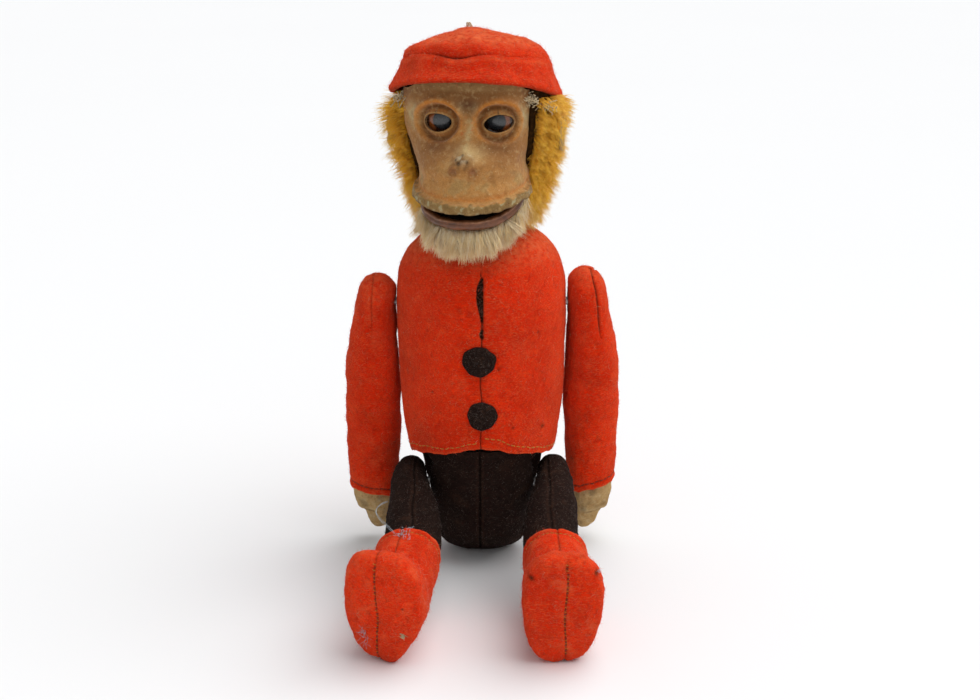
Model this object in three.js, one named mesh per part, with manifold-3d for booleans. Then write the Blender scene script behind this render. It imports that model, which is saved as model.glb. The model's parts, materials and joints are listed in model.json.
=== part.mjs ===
// A seated clockwork monkey in a felt bellhop suit, in millimetres, +Z up.
// The monkey faces -Y, and its own left side is +X.
// The origin is the flat seat that the body rests on.
import * as THREE from 'three';
import { mergeVertices, toCreasedNormals } from 'three/addons/utils/BufferGeometryUtils.js';
import Module from 'manifold-3d';

const wasm = await Module();
wasm.setup();

// ---------------------------------------------------------------- driving dimensions
const GAP = 0.3;                    // clearance kept between touching pieces
const FELT = 1.5;                   // felt thickness
const TIN = 1.0;                    // tinplate thickness
const BODY_HALF_WIDTH = 42;
const BODY_HALF_DEPTH = 35;
const BODY_TOP = 177;
const SEAT_Y = 10;                  // the seat's flat sits a little behind the body's middle
const HEM_SIDE = 61;
const HEM_FRONT_RISE = 9;
const TROUSER_SEAM_X = -1;          // the trousers' centre seam runs just beside the origin

const NECK_X = -1;
const HEAD_YAW = -8.4;              // degrees, the head looks a little to its right
const EYE_Z = 229.7;
const EYE_X = 14.2;
const MOUTH_Z = 190.4;
const MOUTH_CORNER_RISE = 7.4;
const JAW_PIVOT = { y: -6.5, z: 192 };
const CAP_PEAK_X = -4.5;            // the cap's top leans to the toy's right
const CAP_TILT = 12;                // degrees, the cap sits back on the head

const SHOULDER = { x: 52, y: 2, z: 136 };
const SHOULDER_TOE_OUT = 12;        // degrees that the shoulder axis turns away from X
const ARM_LEAN = 0.151;             // backward lean of a hanging arm, per mm of drop
const HIP = { x: 34.5, y: -12, z: 45.5 };
const LEG_SLOPE = 14.3;             // degrees below level
const LEG_LENGTH = 118;
const HIP_FLAT_X = 26.2;            // where the body is pressed flat against the legs
const BOOT_TOP = 62;                // distance of the boot's cuff from the hip

const KEY_Z = 92;
const MODULE = 0.75;
const GREAT_TEETH = 44;
const SECOND_PINION_TEETH = 11;
const SECOND_WHEEL_TEETH = 36;
const GOVERNOR_PINION_TEETH = 9;
const PLATE_FRONT_Y = -9;
const PLATE_BACK_Y = 13;

// ---------------------------------------------------------------- materials
const finish = (color, roughness, metalness = 0) =>
  new THREE.MeshStandardMaterial({ color, roughness, metalness });

const look = {
  redFelt: () => finish(0xd93416, 0.95),
  brownFelt: () => finish(0x2e1f1b, 0.95),
  beigeFelt: () => finish(0xb7a27a, 0.95),
  maskFelt: () => finish(0x9c7650, 0.85),
  lipFelt: () => finish(0x53251d, 0.7),
  goldMohair: () => finish(0xb98a24, 0.9),
  whiteMohair: () => finish(0xd9cdb4, 0.9),
  eyeGlass: () => finish(0x6f767c, 0.2),
  tin: () => finish(0x9a9a96, 0.4, 0.9),
  steel: () => finish(0x77797c, 0.35, 1),
  brass: () => finish(0xb08d45, 0.35, 1),
  card: () => finish(0x9b7d55, 0.9),
  thread: () => finish(0xc9b792, 0.9),
};

// ---------------------------------------------------------------- geometry helpers
const rad = THREE.MathUtils.degToRad;
const v3 = (x, y, z) => new THREE.Vector3(x, y, z);

function meshFrom(points, faces) {
  const geometry = new THREE.BufferGeometry();
  const numbers = points.flatMap((p) => [p.x, p.y, p.z]);
  geometry.setAttribute('position', new THREE.Float32BufferAttribute(numbers, 3));
  const volume = faces.reduce((sum, [a, b, c]) => {
    const cross = v3(0, 0, 0).crossVectors(points[b], points[c]);
    return sum + points[a].dot(cross);
  }, 0);
  const outward = volume > 0 ? faces : faces.map(([a, b, c]) => [a, c, b]);
  geometry.setIndex(outward.flat());
  return geometry;
}

// A solid skinned over closed rings of points, with flat ends.
function loft(rings) {
  const points = [];
  const faces = [];
  const count = rings[0].length;
  rings.forEach((ring) => points.push(...ring));
  for (let i = 0; i + 1 < rings.length; i += 1) {
    for (let j = 0; j < count; j += 1) {
      const a = i * count + j;
      const b = i * count + ((j + 1) % count);
      faces.push([a, b, b + count], [a, b + count, a + count]);
    }
  }
  const cap = (ring, first, flip) => {
    const middle = ring.reduce((sum, p) => sum.add(p), v3(0, 0, 0)).divideScalar(count);
    points.push(middle);
    for (let j = 0; j < count; j += 1) {
      const a = first + j;
      const b = first + ((j + 1) % count);
      faces.push(flip ? [b, a, points.length - 1] : [a, b, points.length - 1]);
    }
  };
  cap(rings[0], 0, true);
  cap(rings[rings.length - 1], (rings.length - 1) * count, false);
  return meshFrom(points, faces);
}

// A curved sheet with thickness: two grids of points joined along their four edges.
function thickSheet(outer, inner) {
  const rows = outer.length;
  const columns = outer[0].length;
  const points = [...outer.flat(), ...inner.flat()];
  const faces = [];
  const half = rows * columns;
  const quad = (a, b, c, d) => faces.push([a, b, c], [a, c, d]);
  for (let i = 0; i + 1 < rows; i += 1) {
    for (let j = 0; j + 1 < columns; j += 1) {
      const a = i * columns + j;
      quad(a, a + 1, a + columns + 1, a + columns);
      quad(half + a, half + a + columns, half + a + columns + 1, half + a + 1);
    }
    const left = i * columns;
    const right = left + columns - 1;
    quad(left, left + columns, half + left + columns, half + left);
    quad(right + columns, right, half + right, half + right + columns);
  }
  const last = (rows - 1) * columns;
  for (let j = 0; j + 1 < columns; j += 1) {
    quad(j + 1, j, half + j, half + j + 1);
    quad(last + j, last + j + 1, half + last + j + 1, half + last + j);
  }
  return meshFrom(points, faces);
}

function toManifold(geometry) {
  const bare = geometry.clone();
  bare.deleteAttribute('normal');
  bare.deleteAttribute('uv');
  const merged = mergeVertices(bare, 1e-4);
  return new wasm.Manifold(new wasm.Mesh({
    numProp: 3,
    vertProperties: Float32Array.from(merged.attributes.position.array),
    triVerts: Uint32Array.from(merged.index.array),
  }));
}

function fromManifold(solid) {
  const mesh = solid.getMesh();
  const geometry = new THREE.BufferGeometry();
  geometry.setAttribute('position', new THREE.BufferAttribute(Float32Array.from(mesh.vertProperties), 3));
  geometry.setIndex([...mesh.triVerts]);
  return geometry;
}

function cut(geometry, ...tools) {
  return fromManifold(tools.reduce((solid, tool) => solid.subtract(toManifold(tool)), toManifold(geometry)));
}

function join(first, ...others) {
  return fromManifold(others.reduce((solid, other) => solid.add(toManifold(other)), toManifold(first)));
}

function keep(geometry, region) {
  return fromManifold(toManifold(geometry).intersect(toManifold(region)));
}

function box(low, high) {
  const size = high.map((value, i) => value - low[i]);
  const middle = high.map((value, i) => (value + low[i]) / 2);
  return new THREE.BoxGeometry(...size).translate(...middle);
}

// A round bar from one point to another.
function bar(from, to, radius, sides = 16) {
  const along = v3(0, 0, 0).subVectors(to, from);
  const turn = new THREE.Quaternion().setFromUnitVectors(v3(0, 1, 0), along.clone().normalize());
  const middle = v3(0, 0, 0).addVectors(from, to).multiplyScalar(0.5);
  return new THREE.CylinderGeometry(radius, radius, along.length(), sides)
    .applyQuaternion(turn)
    .translate(middle.x, middle.y, middle.z);
}

const barY = (x, z, fromY, toY, radius, sides) => bar(v3(x, fromY, z), v3(x, toY, z), radius, sides);
const barX = (y, z, fromX, toX, radius, sides) => bar(v3(fromX, y, z), v3(toX, y, z), radius, sides);

function ring(halfWidth, halfDepth, centre, count, power = 2, place = (a, b) => v3(a, b, 0)) {
  return Array.from({ length: count }, (_, j) => {
    const turn = (2 * Math.PI * j) / count;
    const bend = (value) => Math.sign(value) * Math.abs(value) ** (2 / power);
    return place(halfWidth * bend(Math.cos(turn)), halfDepth * bend(Math.sin(turn))).add(centre);
  });
}

// A smooth curve through rows of numbers, read by its first column.
function smoothTable(rows) {
  const slope = (i, k) => {
    const low = Math.max(i - 1, 0);
    const high = Math.min(i + 1, rows.length - 1);
    return (rows[high][k] - rows[low][k]) / (rows[high][0] - rows[low][0]);
  };
  return (at) => {
    const inside = THREE.MathUtils.clamp(at, rows[0][0], rows[rows.length - 1][0]);
    const i = Math.min(Math.max(rows.findIndex((row) => row[0] >= inside) - 1, 0), rows.length - 2);
    const span = rows[i + 1][0] - rows[i][0];
    const u = (inside - rows[i][0]) / span;
    const rest = 1 - u;
    const wave = [
      (1 + 2 * u) * rest * rest, u * rest * rest * span,
      u * u * (3 - 2 * u), -u * u * rest * span,
    ];
    return rows[i].slice(1).map((value, k) => wave[0] * value + wave[1] * slope(i, k + 1)
      + wave[2] * rows[i + 1][k + 1] + wave[3] * slope(i + 1, k + 1));
  };
}

const spread = (from, to, steps) =>
  Array.from({ length: steps + 1 }, (_, i) => from + ((to - from) * i) / steps);

// A flat wheel with straight-sided teeth, centred on the Y axis.
function toothedWheel(teeth, fromY, toY, boreRadius) {
  const pitchRadius = (MODULE * teeth) / 2;
  const tip = pitchRadius + 0.75 * MODULE;
  const root = pitchRadius - 1.15 * MODULE;
  const shape = new THREE.Shape();
  const step = (2 * Math.PI) / teeth;
  for (let i = 0; i < teeth; i += 1) {
    [[-0.23, root], [-0.1, tip], [0.1, tip], [0.23, root]].forEach(([part, radius]) => {
      const turn = step * (i + part);
      const at = [radius * Math.sin(turn), radius * Math.cos(turn)];
      if (i === 0 && part === -0.23) shape.moveTo(...at);
      else shape.lineTo(...at);
    });
  }
  return cut(plateY(shape, fromY, toY), barY(0, 0, fromY - 1, toY + 1, boreRadius, 16));
}

// Extrudes a shape drawn in X and Z through a stretch of Y.
function plateY(shape, fromY, toY, curveSegments = 6) {
  return new THREE.ExtrudeGeometry(shape, { depth: toY - fromY, bevelEnabled: false, curveSegments })
    .rotateX(Math.PI / 2)
    .translate(0, toY, 0);
}

// ---------------------------------------------------------------- scene graph
const group = new THREE.Group();
const parts = {};

function add(parent, name, geometry, material) {
  const bare = geometry.clone();
  bare.deleteAttribute('normal');
  bare.deleteAttribute('uv');
  const mesh = new THREE.Mesh(toCreasedNormals(mergeVertices(bare, 1e-4), rad(35)), material);
  mesh.name = name;
  parent.add(mesh);
  parts[name] = mesh;
  return mesh;
}

// ---------------------------------------------------------------- body form
// Rows are height, half width and half depth of the suit's outside.
const bodyForm = smoothTable([
  [-2, 11, 10],
  [0.2, 16.5, 16.2],
  [5, 20.3, 19],
  [12, 22.6, 23],
  [22, 23.8, 26.6],
  [34, 24.6, 29.4],
  [42, 27.2, 31.2],
  [50, 31, 32.2],
  [58, 34.6, 32.8],
  [68, 38, 33.6],
  [84, 40.2, 34.4],
  [110, 41.6, BODY_HALF_DEPTH],
  [144, BODY_HALF_WIDTH, BODY_HALF_DEPTH],
  [157, 39, 32.8],
  [165, 34, 29],
  [171, 27.5, 23.5],
  [175, 20, 17.5],
  [BODY_TOP, 12, 11],
]);

const bodyCentreY = (z) => SEAT_Y * Math.max(0, 1 - Math.max(z, 0) / 60) ** 2;

// A point of the body's surface, moved in by a depth. The turn is 0 at the front and 90 at its left.
function bodyPoint(turn, z, depth = 0) {
  const [width, fore] = bodyForm(z);
  const [widthAbove] = bodyForm(z + 0.5);
  const [widthBelow] = bodyForm(z - 0.5);
  const lean = THREE.MathUtils.clamp(widthAbove - widthBelow, -4, 4);
  const out = 1 / Math.hypot(1, lean);
  const sine = Math.sin(rad(turn));
  const cosine = Math.cos(rad(turn));
  const bend = (value) => Math.sign(value) * Math.abs(value) ** 0.93;
  return v3(
    (width - depth * out) * bend(sine),
    bodyCentreY(z) - (fore - depth * out) * bend(cosine),
    z + depth * out * lean,
  );
}

// A felt panel of the suit between two turns, from its hem up.
function bodyPanel(fromTurn, toTurn, columns, hem, top, rows) {
  const grid = (depth) => spread(0, 1, rows).map((share) => spread(fromTurn, toTurn, columns).map((turn) => {
    const low = hem(turn);
    return bodyPoint(turn, low + (top - low) * share, depth);
  }));
  return thickSheet(grid(0), grid(FELT));
}

const hemHeight = (turn) => HEM_SIDE + HEM_FRONT_RISE * Math.max(0, Math.cos(rad(turn))) ** 2
  + 0.5 * HEM_FRONT_RISE * Math.max(0, -Math.cos(rad(turn))) ** 2;

const bodyRing = (z, depth, count) =>
  spread(0, 360 - 360 / count, count - 1).map((turn) => bodyPoint(turn, z, depth));

const shoulderAxis = (side) => v3(Math.cos(rad(SHOULDER_TOE_OUT)), side * Math.sin(rad(SHOULDER_TOE_OUT)), 0);

function shoulderBar(side, fromX, toX, radius, sides = 16) {
  const axis = shoulderAxis(side);
  const centre = v3(side * SHOULDER.x, SHOULDER.y, SHOULDER.z);
  const at = (x) => centre.clone().addScaledVector(axis, side * (x - SHOULDER.x) / axis.x);
  return bar(at(fromX), at(toX), radius, sides);
}

// ---------------------------------------------------------------- suit
function makeSuit() {
  const seam = 0.35;
  const panels = [
    ['jacket_left_front', seam, 90 - seam, 7],
    ['jacket_right_front', seam - 90, -seam, 7],
    ['jacket_back', 90 + seam, 270 - seam, 14],
  ];
  const sleeveHoles = [1, -1].map((side) => shoulderBar(side, 30, 48, 3));
  const keyHole = barY(0, KEY_Z, 20, 45, 4.2);
  panels.forEach(([name, from, to, columns]) => {
    const panel = bodyPanel(from, to, columns, hemHeight, BODY_TOP - 0.6, 9);
    add(group, name, cut(panel, ...sleeveHoles, keyHole), look.redFelt());
  });
}

// The trousers are pressed in where the legs' discs sit against them.
function makeTrousers() {
  const heights = [1, 3, 6, 11, 18, 27, 36, 43, 50, 58, 70];
  const top = 69;
  const skin = FELT + 2 * GAP;
  const solid = (depth, dent, seat) => {
    const rings = heights.map((z) => bodyRing(Math.max(z - skin, -2), depth, 28));
    const flat = rings[0].map((point) => point.clone().setZ(seat));
    const dents = [1, -1].map((side) =>
      barX(HIP.y, HIP.z, side * dent, side * 60, 13.5 + HIP_FLAT_X - dent, 20));
    return cut(loft([flat, ...rings.filter((one) => one[0].z > seat + 0.3)]), ...dents);
  };
  const shell = cut(solid(skin, HIP_FLAT_X, 0), solid(skin + FELT, HIP_FLAT_X - FELT, FELT));
  const hipHoles = barX(HIP.y, HIP.z, -40, 40, 3, 16);
  const below = cut(shell, hipHoles, box([-80, -80, top], [80, 80, 120]));
  const leftSide = box([TROUSER_SEAM_X + GAP / 2, -80, -5], [80, 80, 90]);
  const rightSide = box([-80, -80, -5], [TROUSER_SEAM_X - GAP / 2, 80, 90]);
  add(group, 'trousers_left', keep(below, leftSide), look.brownFelt());
  add(group, 'trousers_right', keep(below, rightSide), look.brownFelt());
}

function makeButtons() {
  const buttons = [['button_upper', -1.2, 115.2, 8.2, 7.5], ['button_lower', 0.2, 87.4, 7.3, 7.2]];
  buttons.forEach(([name, x, z, wide, high]) => {
    const front = bodyPoint(0, z).y - GAP;
    const place = (a, b) => v3(a, 0, b);
    const rings = [[-0.1, 1], [-1.3, 1], [-1.8, 0.9]].map(([y, scale]) =>
      ring(wide * scale, high * scale, v3(x, front + y - 0.35, z), 20, 2, place));
    add(group, name, loft(rings), look.brownFelt());
  });
}

// ---------------------------------------------------------------- tin body
const tinForm = smoothTable([
  [14, 11, 14],
  [20, 14.8, 18.5],
  [34, 17.2, 22],
  [62, 18.4, 25],
  [74, 31, 28.6],
  [84, 35.4, 30],
  [110, 37.2, 31],
  [144, 37.6, 31],
  [157, 34.4, 28.4],
  [166, 24.5, 21],
  [170, 11, 10.5],
]);

function tinPoint(turn, z, depth) {
  const [width, fore] = tinForm(z);
  const bend = (value) => Math.sign(value) * Math.abs(value) ** 0.8;
  const centre = 0.8 * bodyCentreY(z);
  return v3(
    (width - depth) * bend(Math.sin(rad(turn))),
    centre - (fore - depth) * bend(Math.cos(rad(turn))),
    z - (z > 160 ? depth * (z - 160) / 10 : 0),
  );
}

function makeTinBody() {
  const heights = [14, 20, 34, 62, 74, 84, 110, 144, 157, 166, 170];
  const grid = (from, to, depth) =>
    heights.map((z) => spread(from, to, 8).map((turn) => tinPoint(turn, z, depth)));
  const pinHoles = [1, -1].map((side) => shoulderBar(side, 30, 48, 3));
  const hipHoles = barX(HIP.y, HIP.z, -40, 40, 3, 16);
  const keyHole = barY(0, KEY_Z, 20, 45, 3.6);
  const holes = [...pinHoles, hipHoles, keyHole];
  const half = (from, to) => cut(thickSheet(grid(from, to, 0), grid(from, to, TIN)), ...holes);
  add(group, 'body_front', half(-89.5, 89.5), look.tin());
  add(group, 'body_back', half(90.5, 269.5), look.tin());
  const collar = [[4.2, 163], [8.4, 163], [8.4, 177.6], [12.4, 177.6], [12.4, 179], [4.2, 179], [4.2, 163]];
  const collarLine = collar.map((p) => new THREE.Vector2(...p));
  const neckRing = new THREE.LatheGeometry(collarLine, 20).rotateX(Math.PI / 2);
  add(group, 'neck_ring', neckRing.translate(NECK_X, 0, 0), look.brass());
}

// ---------------------------------------------------------------- clockwork
const secondZ = KEY_Z + (MODULE * (GREAT_TEETH + SECOND_PINION_TEETH)) / 2;
const governorX = -(MODULE * (SECOND_WHEEL_TEETH + GOVERNOR_PINION_TEETH)) / 2;
const plateTop = secondZ + 7;
const plateBottom = KEY_Z - 21;
const pillarPlaces = [[19, plateTop - 4], [19, plateBottom + 4], [-19, plateBottom + 4]];

function makePlates() {
  const bearingHoles = [[0, KEY_Z, 2.35], [0, secondZ, 1.85], [governorX, secondZ, 1.35]];
  [['motor_plate_front', PLATE_FRONT_Y], ['motor_plate_back', PLATE_BACK_Y]].forEach(([name, y]) => {
    const holes = bearingHoles.map(([x, z, radius]) => barY(x, z, y - 3, y + 3, radius, 12));
    const plate = box([-23, y - 0.7, plateBottom], [23, y + 0.7, plateTop]);
    add(group, name, cut(plate, ...holes), look.steel());
  });
  pillarPlaces.forEach(([x, z], i) => {
    const pillar = barY(x, z, PLATE_FRONT_Y + 0.7 + GAP, PLATE_BACK_Y - 0.7 - GAP, 2, 14);
    add(group, `motor_pillar_${i + 1}`, pillar, look.steel());
  });
}

// The mainspring is a flat spiral band round the winding arbor.
function makeMainspring() {
  const turns = 4.25;
  const steps = Math.round(turns * 14);
  const radiusAt = (share, offset) => 4 + 12 * share + offset;
  const edge = (offset) => spread(0, 1, steps).map((share) => {
    const turn = share * turns * 2 * Math.PI;
    const radius = radiusAt(share, offset);
    return new THREE.Vector2(radius * Math.cos(turn), radius * Math.sin(turn));
  });
  const outline = new THREE.Shape([...edge(0.45), ...edge(-0.45).reverse()]);
  add(group, 'mainspring', plateY(outline, -6.5, 0.5).translate(0, 0, KEY_Z), look.steel());
}

function makeKeyTrain() {
  const at = (geometry) => geometry.translate(0, 0, KEY_Z);
  add(group, 'winding_arbor', barY(0, KEY_Z, PLATE_FRONT_Y - 2, 44, 2, 16), look.steel());

  const ratchet = new THREE.Shape();
  const teeth = 14;
  for (let i = 0; i < teeth; i += 1) {
    const start = (2 * Math.PI * i) / teeth;
    const low = [5.6 * Math.cos(start), 5.6 * Math.sin(start)];
    const high = [7.2 * Math.cos(start + 0.38), 7.2 * Math.sin(start + 0.38)];
    if (i === 0) ratchet.moveTo(...low);
    else ratchet.lineTo(...low);
    ratchet.lineTo(...high);
  }
  const ratchetWheel = cut(plateY(ratchet, 2, 3.6), barY(0, 0, 1, 5, 2 + GAP, 16));
  add(group, 'ratchet_wheel', at(ratchetWheel), look.steel());

  const wheel = toothedWheel(GREAT_TEETH, 4.4, 6.2, 2 + GAP);
  add(group, 'great_wheel', at(wheel), look.brass());

  const clickShape = new THREE.Shape([
    [7.8, 1.2], [8.6, 0.4], [13.2, 4.2], [12.6, 6.6], [10.8, 6.4],
  ].map((p) => new THREE.Vector2(...p)));
  add(group, 'click', at(plateY(clickShape, 2, 3.6)), look.steel());

  const wing = new THREE.Shape();
  wing.moveTo(0, 37.5);
  wing.bezierCurveTo(4, 38, 6, 40, 9, 39);
  wing.bezierCurveTo(18, 38, 18, 56, 9, 55);
  wing.bezierCurveTo(6, 54, 4, 51, 0, 51);
  wing.bezierCurveTo(-4, 51, -6, 54, -9, 55);
  wing.bezierCurveTo(-18, 56, -18, 38, -9, 39);
  wing.bezierCurveTo(-6, 40, -4, 38, 0, 37.5);
  [1, -1].forEach((side) => {
    wing.holes.push(new THREE.Path().absarc(side * 10, 47, 3.6, 0, 2 * Math.PI, true));
  });
  const wings = new THREE.ExtrudeGeometry(wing, { depth: 1.4, bevelEnabled: false, curveSegments: 6 })
    .translate(0, 0, KEY_Z - 0.7);
  const stem = barY(0, KEY_Z, 37, 49, 3.3, 18);
  const socket = barY(0, KEY_Z, 36, 44.4, 2 + GAP, 16);
  add(group, 'key', cut(join(wings, stem), socket), look.steel());
}

function makeSecondTrain() {
  const at = (geometry) => geometry.translate(0, 0, secondZ);
  const arbor = barY(0, secondZ, PLATE_FRONT_Y - 3.2, PLATE_BACK_Y + 1.5, 1.5, 14);
  const crankPin = barY(0, secondZ - 5.5, PLATE_FRONT_Y - 3.6, PLATE_FRONT_Y - 2.4, 1.1, 12);
  const disc = barY(0, secondZ, PLATE_FRONT_Y - 2.8, PLATE_FRONT_Y - 1.3, 7.5, 24);
  const pinion = toothedWheel(SECOND_PINION_TEETH, 3.4, 7.4, 1.5 + GAP);
  add(group, 'second_arbor', arbor, look.steel());
  add(group, 'second_pinion', at(pinion), look.brass());
  add(group, 'second_wheel', at(toothedWheel(SECOND_WHEEL_TEETH, 8.4, 9.9, 1.5 + GAP)), look.brass());
  add(group, 'crank_disc', cut(join(disc, crankPin), barY(0, secondZ, -20, 0, 1.5 + GAP, 14)), look.brass());
}

function makeGovernor() {
  const at = (geometry) => geometry.translate(governorX, 0, secondZ);
  const gapFacesWheel = Math.PI / 2 - 2.5 * ((2 * Math.PI) / GOVERNOR_PINION_TEETH);
  const pinion = toothedWheel(GOVERNOR_PINION_TEETH, 7.6, 10.6, 1 + GAP).rotateY(gapFacesWheel);
  const governorArbor = barY(governorX, secondZ, PLATE_FRONT_Y - 1.5, PLATE_BACK_Y + 1.5, 1, 12);
  add(group, 'governor_arbor', governorArbor, look.steel());
  add(group, 'governor_pinion', at(pinion), look.brass());
  const fan = join(box([-6, -5.5, -0.5], [6, 4, 0.5]), barY(0, 0, -5.5, 4, 2, 12));
  add(group, 'governor_fan', at(cut(fan, barY(0, 0, -8, 8, 1 + GAP, 12))), look.tin());
}

// ---------------------------------------------------------------- head
const head = new THREE.Group();
head.position.set(NECK_X, 0, 0);
head.rotation.z = rad(HEAD_YAW);
group.add(head);

// Rows are height, half width and depth in front of the head's axis.
const maskForm = smoothTable([
  [190, 24, 48.5, 24],
  [193, 27, 50, 22],
  [198, 27.6, 49, 20],
  [204, 27, 47, 18],
  [208.5, 28, 48.6, 17],
  [213, 29.3, 46, 16],
  [222, 31.8, 38.5, 15],
  [230, 33.4, 35, 15],
  [238, 34, 37, 15],
  [246, 33.6, 36, 16],
]);

function maskPoint(share, z, depth) {
  const [width, front, edge] = maskForm(z);
  const turn = (share * Math.PI) / 2;
  return v3(
    (width - depth * 0.6) * Math.sin(turn),
    -(edge + (front - edge - depth) * Math.cos(turn)) + depth * 0.2 * Math.abs(Math.sin(turn)),
    z,
  );
}

// Rows are height, half width and half depth of the hard head behind the mask.
const skullForm = smoothTable([
  [181, 21, 21],
  [190, 25, 25],
  [203, 29, 30],
  [215, 32, 33],
  [230, 34, 35],
  [245, 34, 35],
  [253, 29, 30],
]);

function skullPoint(turn, z, out) {
  const [width, fore] = skullForm(z);
  return v3((width + out) * Math.sin(rad(turn)), -(fore + out) * Math.cos(rad(turn)), z);
}

function skullSheet(from, to, columns, heights, out, thickness) {
  const grid = (offset) =>
    heights.map((z) => spread(from, to, columns).map((turn) => skullPoint(turn, z, offset)));
  return thickSheet(grid(out + thickness), grid(out));
}

// Rows are height above the brim and radius, in the cap's own tilted frame.
const capOutside = [
  [0, 39.6], [3, 41], [8, 39.8], [13, 38], [17, 35.4], [21, 30.5], [25, 22.5], [28, 12], [29.6, 3],
];
const capInside = [
  [-1, 38], [3, 39.4], [8, 38.2], [13, 36.2], [16.5, 33.5], [20, 28.6], [23.6, 20.6], [26.3, 10.4], [27.7, 2],
];

function capDome(rows, grow = 0) {
  const lean = (height) => CAP_PEAK_X * (Math.max(height, 0) / 29.6) ** 2;
  const rings = rows.map(([height, radius]) =>
    ring(radius + grow, radius + grow, v3(lean(height), 0, height - grow), 24));
  return loft(rings).rotateX(-rad(CAP_TILT)).translate(-1, 0, 238.6);
}

function makeHead() {
  const faceHeights = spread(0, 1, 11);
  const lowEdge = (share) => MOUTH_Z + MOUTH_CORNER_RISE * share ** 2;
  const face = (depth) => faceHeights.map((up) => spread(-1, 1, 14).map((share) =>
    maskPoint(share, lowEdge(share) + (246 - lowEdge(share)) * up, depth)));
  const eyeHole = (side) => new THREE.CylinderGeometry(1, 1, 20, 20).scale(6, 1, 3.6)
    .translate(side * EYE_X, -34, EYE_Z);
  const mask = cut(thickSheet(face(0), face(2)), eyeHole(1), eyeHole(-1), capDome(capOutside, GAP));
  add(head, 'face_mask', mask, look.maskFelt());

  const lens = (side) =>
    new THREE.SphereGeometry(1, 16, 8).scale(8, 2.6, 7).translate(side * EYE_X, -26.5, EYE_Z);
  add(head, 'eye_left', lens(1), look.eyeGlass());
  add(head, 'eye_right', lens(-1), look.eyeGlass());

  const jawPinHole = barX(JAW_PIVOT.y, JAW_PIVOT.z, -40, 40, 1.5 + GAP, 12);
  const skull = skullSheet(72, 288, 14, [181, 192, 205, 218, 245, 253], -TIN, TIN);
  add(head, 'head_shell', cut(skull, jawPinHole), look.tin());
  add(head, 'jaw_pin', barX(JAW_PIVOT.y, JAW_PIVOT.z, -25.2, 25.2, 1.5, 12), look.steel());

  const plate = loft([204.5, 206].map((z) => ring(27, 27.5, v3(0, 0, z), 24)));
  const backPlate = keep(plate, box([-40, -12, 200], [40, 40, 210]));
  add(head, 'head_plate', backPlate, look.tin());

  const pelt = skullSheet(68, 292, 16, [180.5, 190, 203, 215, 225, 234], GAP, 5.5);
  const pinRoom = barX(JAW_PIVOT.y, JAW_PIVOT.z, -26.5, 26.5, 2.2, 12);
  add(head, 'head_pelt', cut(pelt, pinRoom, capDome(capOutside, GAP)), look.goldMohair());

  [['ear_left', 1], ['ear_right', -1]].forEach(([name, side]) => {
    const place = (a, b) => v3(0, a, b);
    const rings = [0, 2].map((out) => ring(9, 10.5, v3(side * (41 + out), 1, 222), 20, 2, place));
    add(head, name, loft(rings), look.beigeFelt());
  });
}

function makeCap() {
  add(head, 'cap', cut(capDome(capOutside), capDome(capInside)), look.redFelt());

  const archLine = [[-2, 0.3], [-1.6, 2.4], [0, 3.4], [1.6, 2.4], [2, 0.3]];
  const arch = new THREE.CatmullRomCurve3(archLine.map(([x, z]) => v3(x, 0, z)));
  const section = new THREE.Shape().absarc(0, 0, 0.5, 0, 2 * Math.PI);
  const loop = new THREE.ExtrudeGeometry(section, {
    steps: 12, extrudePath: arch, bevelEnabled: false, curveSegments: 4,
  });
  add(head, 'cap_loop', loop.translate(CAP_PEAK_X - 1, 6.2, 267.9), look.thread());
}

// ---------------------------------------------------------------- jaw
function makeJaw() {
  const slab = loft([183.2, 186.4].map((z) => ring(19.5, 16.8, v3(0, -24.4, z), 22)));
  const lug = (side) => box([side * 17.5 - 1.5, -10.5, 184], [side * 17.5 + 1.5, -2.5, 195.5]);
  const pinHole = barX(JAW_PIVOT.y, JAW_PIVOT.z, -30, 30, 1.5 + GAP, 16);
  const frame = join(slab, box([-19, -14, 183.2], [19, -8.5, 186.4]), lug(1), lug(-1));
  add(head, 'jaw_plate', cut(frame, pinHole), look.tin());

  const band = new THREE.CatmullRomCurve3([
    v3(-23.5, -26, 191.5), v3(-19, -35, 187.6), v3(-10.5, -42.6, 185.4), v3(0, -45.4, 184.8),
    v3(10.5, -42.6, 185.4), v3(19, -35, 187.6), v3(23.5, -26, 191.5),
  ]);
  const section = new THREE.Shape().absellipse(0, 0, 2.6, 2.2, 0, 2 * Math.PI);
  const lip = new THREE.ExtrudeGeometry(section, {
    steps: 16, extrudePath: band, bevelEnabled: false, curveSegments: 5,
  });
  add(head, 'lower_lip', lip, look.lipFelt());

  const beardRows = [
    [170.5, 11, 3.6, -41.5],
    [174, 17, 5.5, -40.5],
    [179, 21, 6.8, -37.5],
    [181.4, 22, 7, -36.5],
  ];
  const beard = loft(beardRows.map(([z, wide, deep, y]) => ring(wide, deep, v3(0, y, z), 22)));
  add(head, 'chin_pelt', beard, look.whiteMohair());
}

// ---------------------------------------------------------------- arms
// Rows are height, the sides nearest to and farthest from the body, and half depth.
const sleeveForm = [
  [152, 49.5, 54.5, 4],
  [150.6, 47, 57.5, 8],
  [147, 44.6, 60, 11],
  [141, 43.3, 61.8, 13.2],
  [132, 42.8, 63.5, 14],
  [116, 42.5, 66.5, 14.4],
  [98, 41.8, 68.6, 14.4],
  [78, 41.2, 69.2, 14],
  [60, 42.2, 69.4, 13.2],
  [46, 43.6, 69.4, 12.6],
  [34.6, 44.8, 69, 12.4],
];

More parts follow.
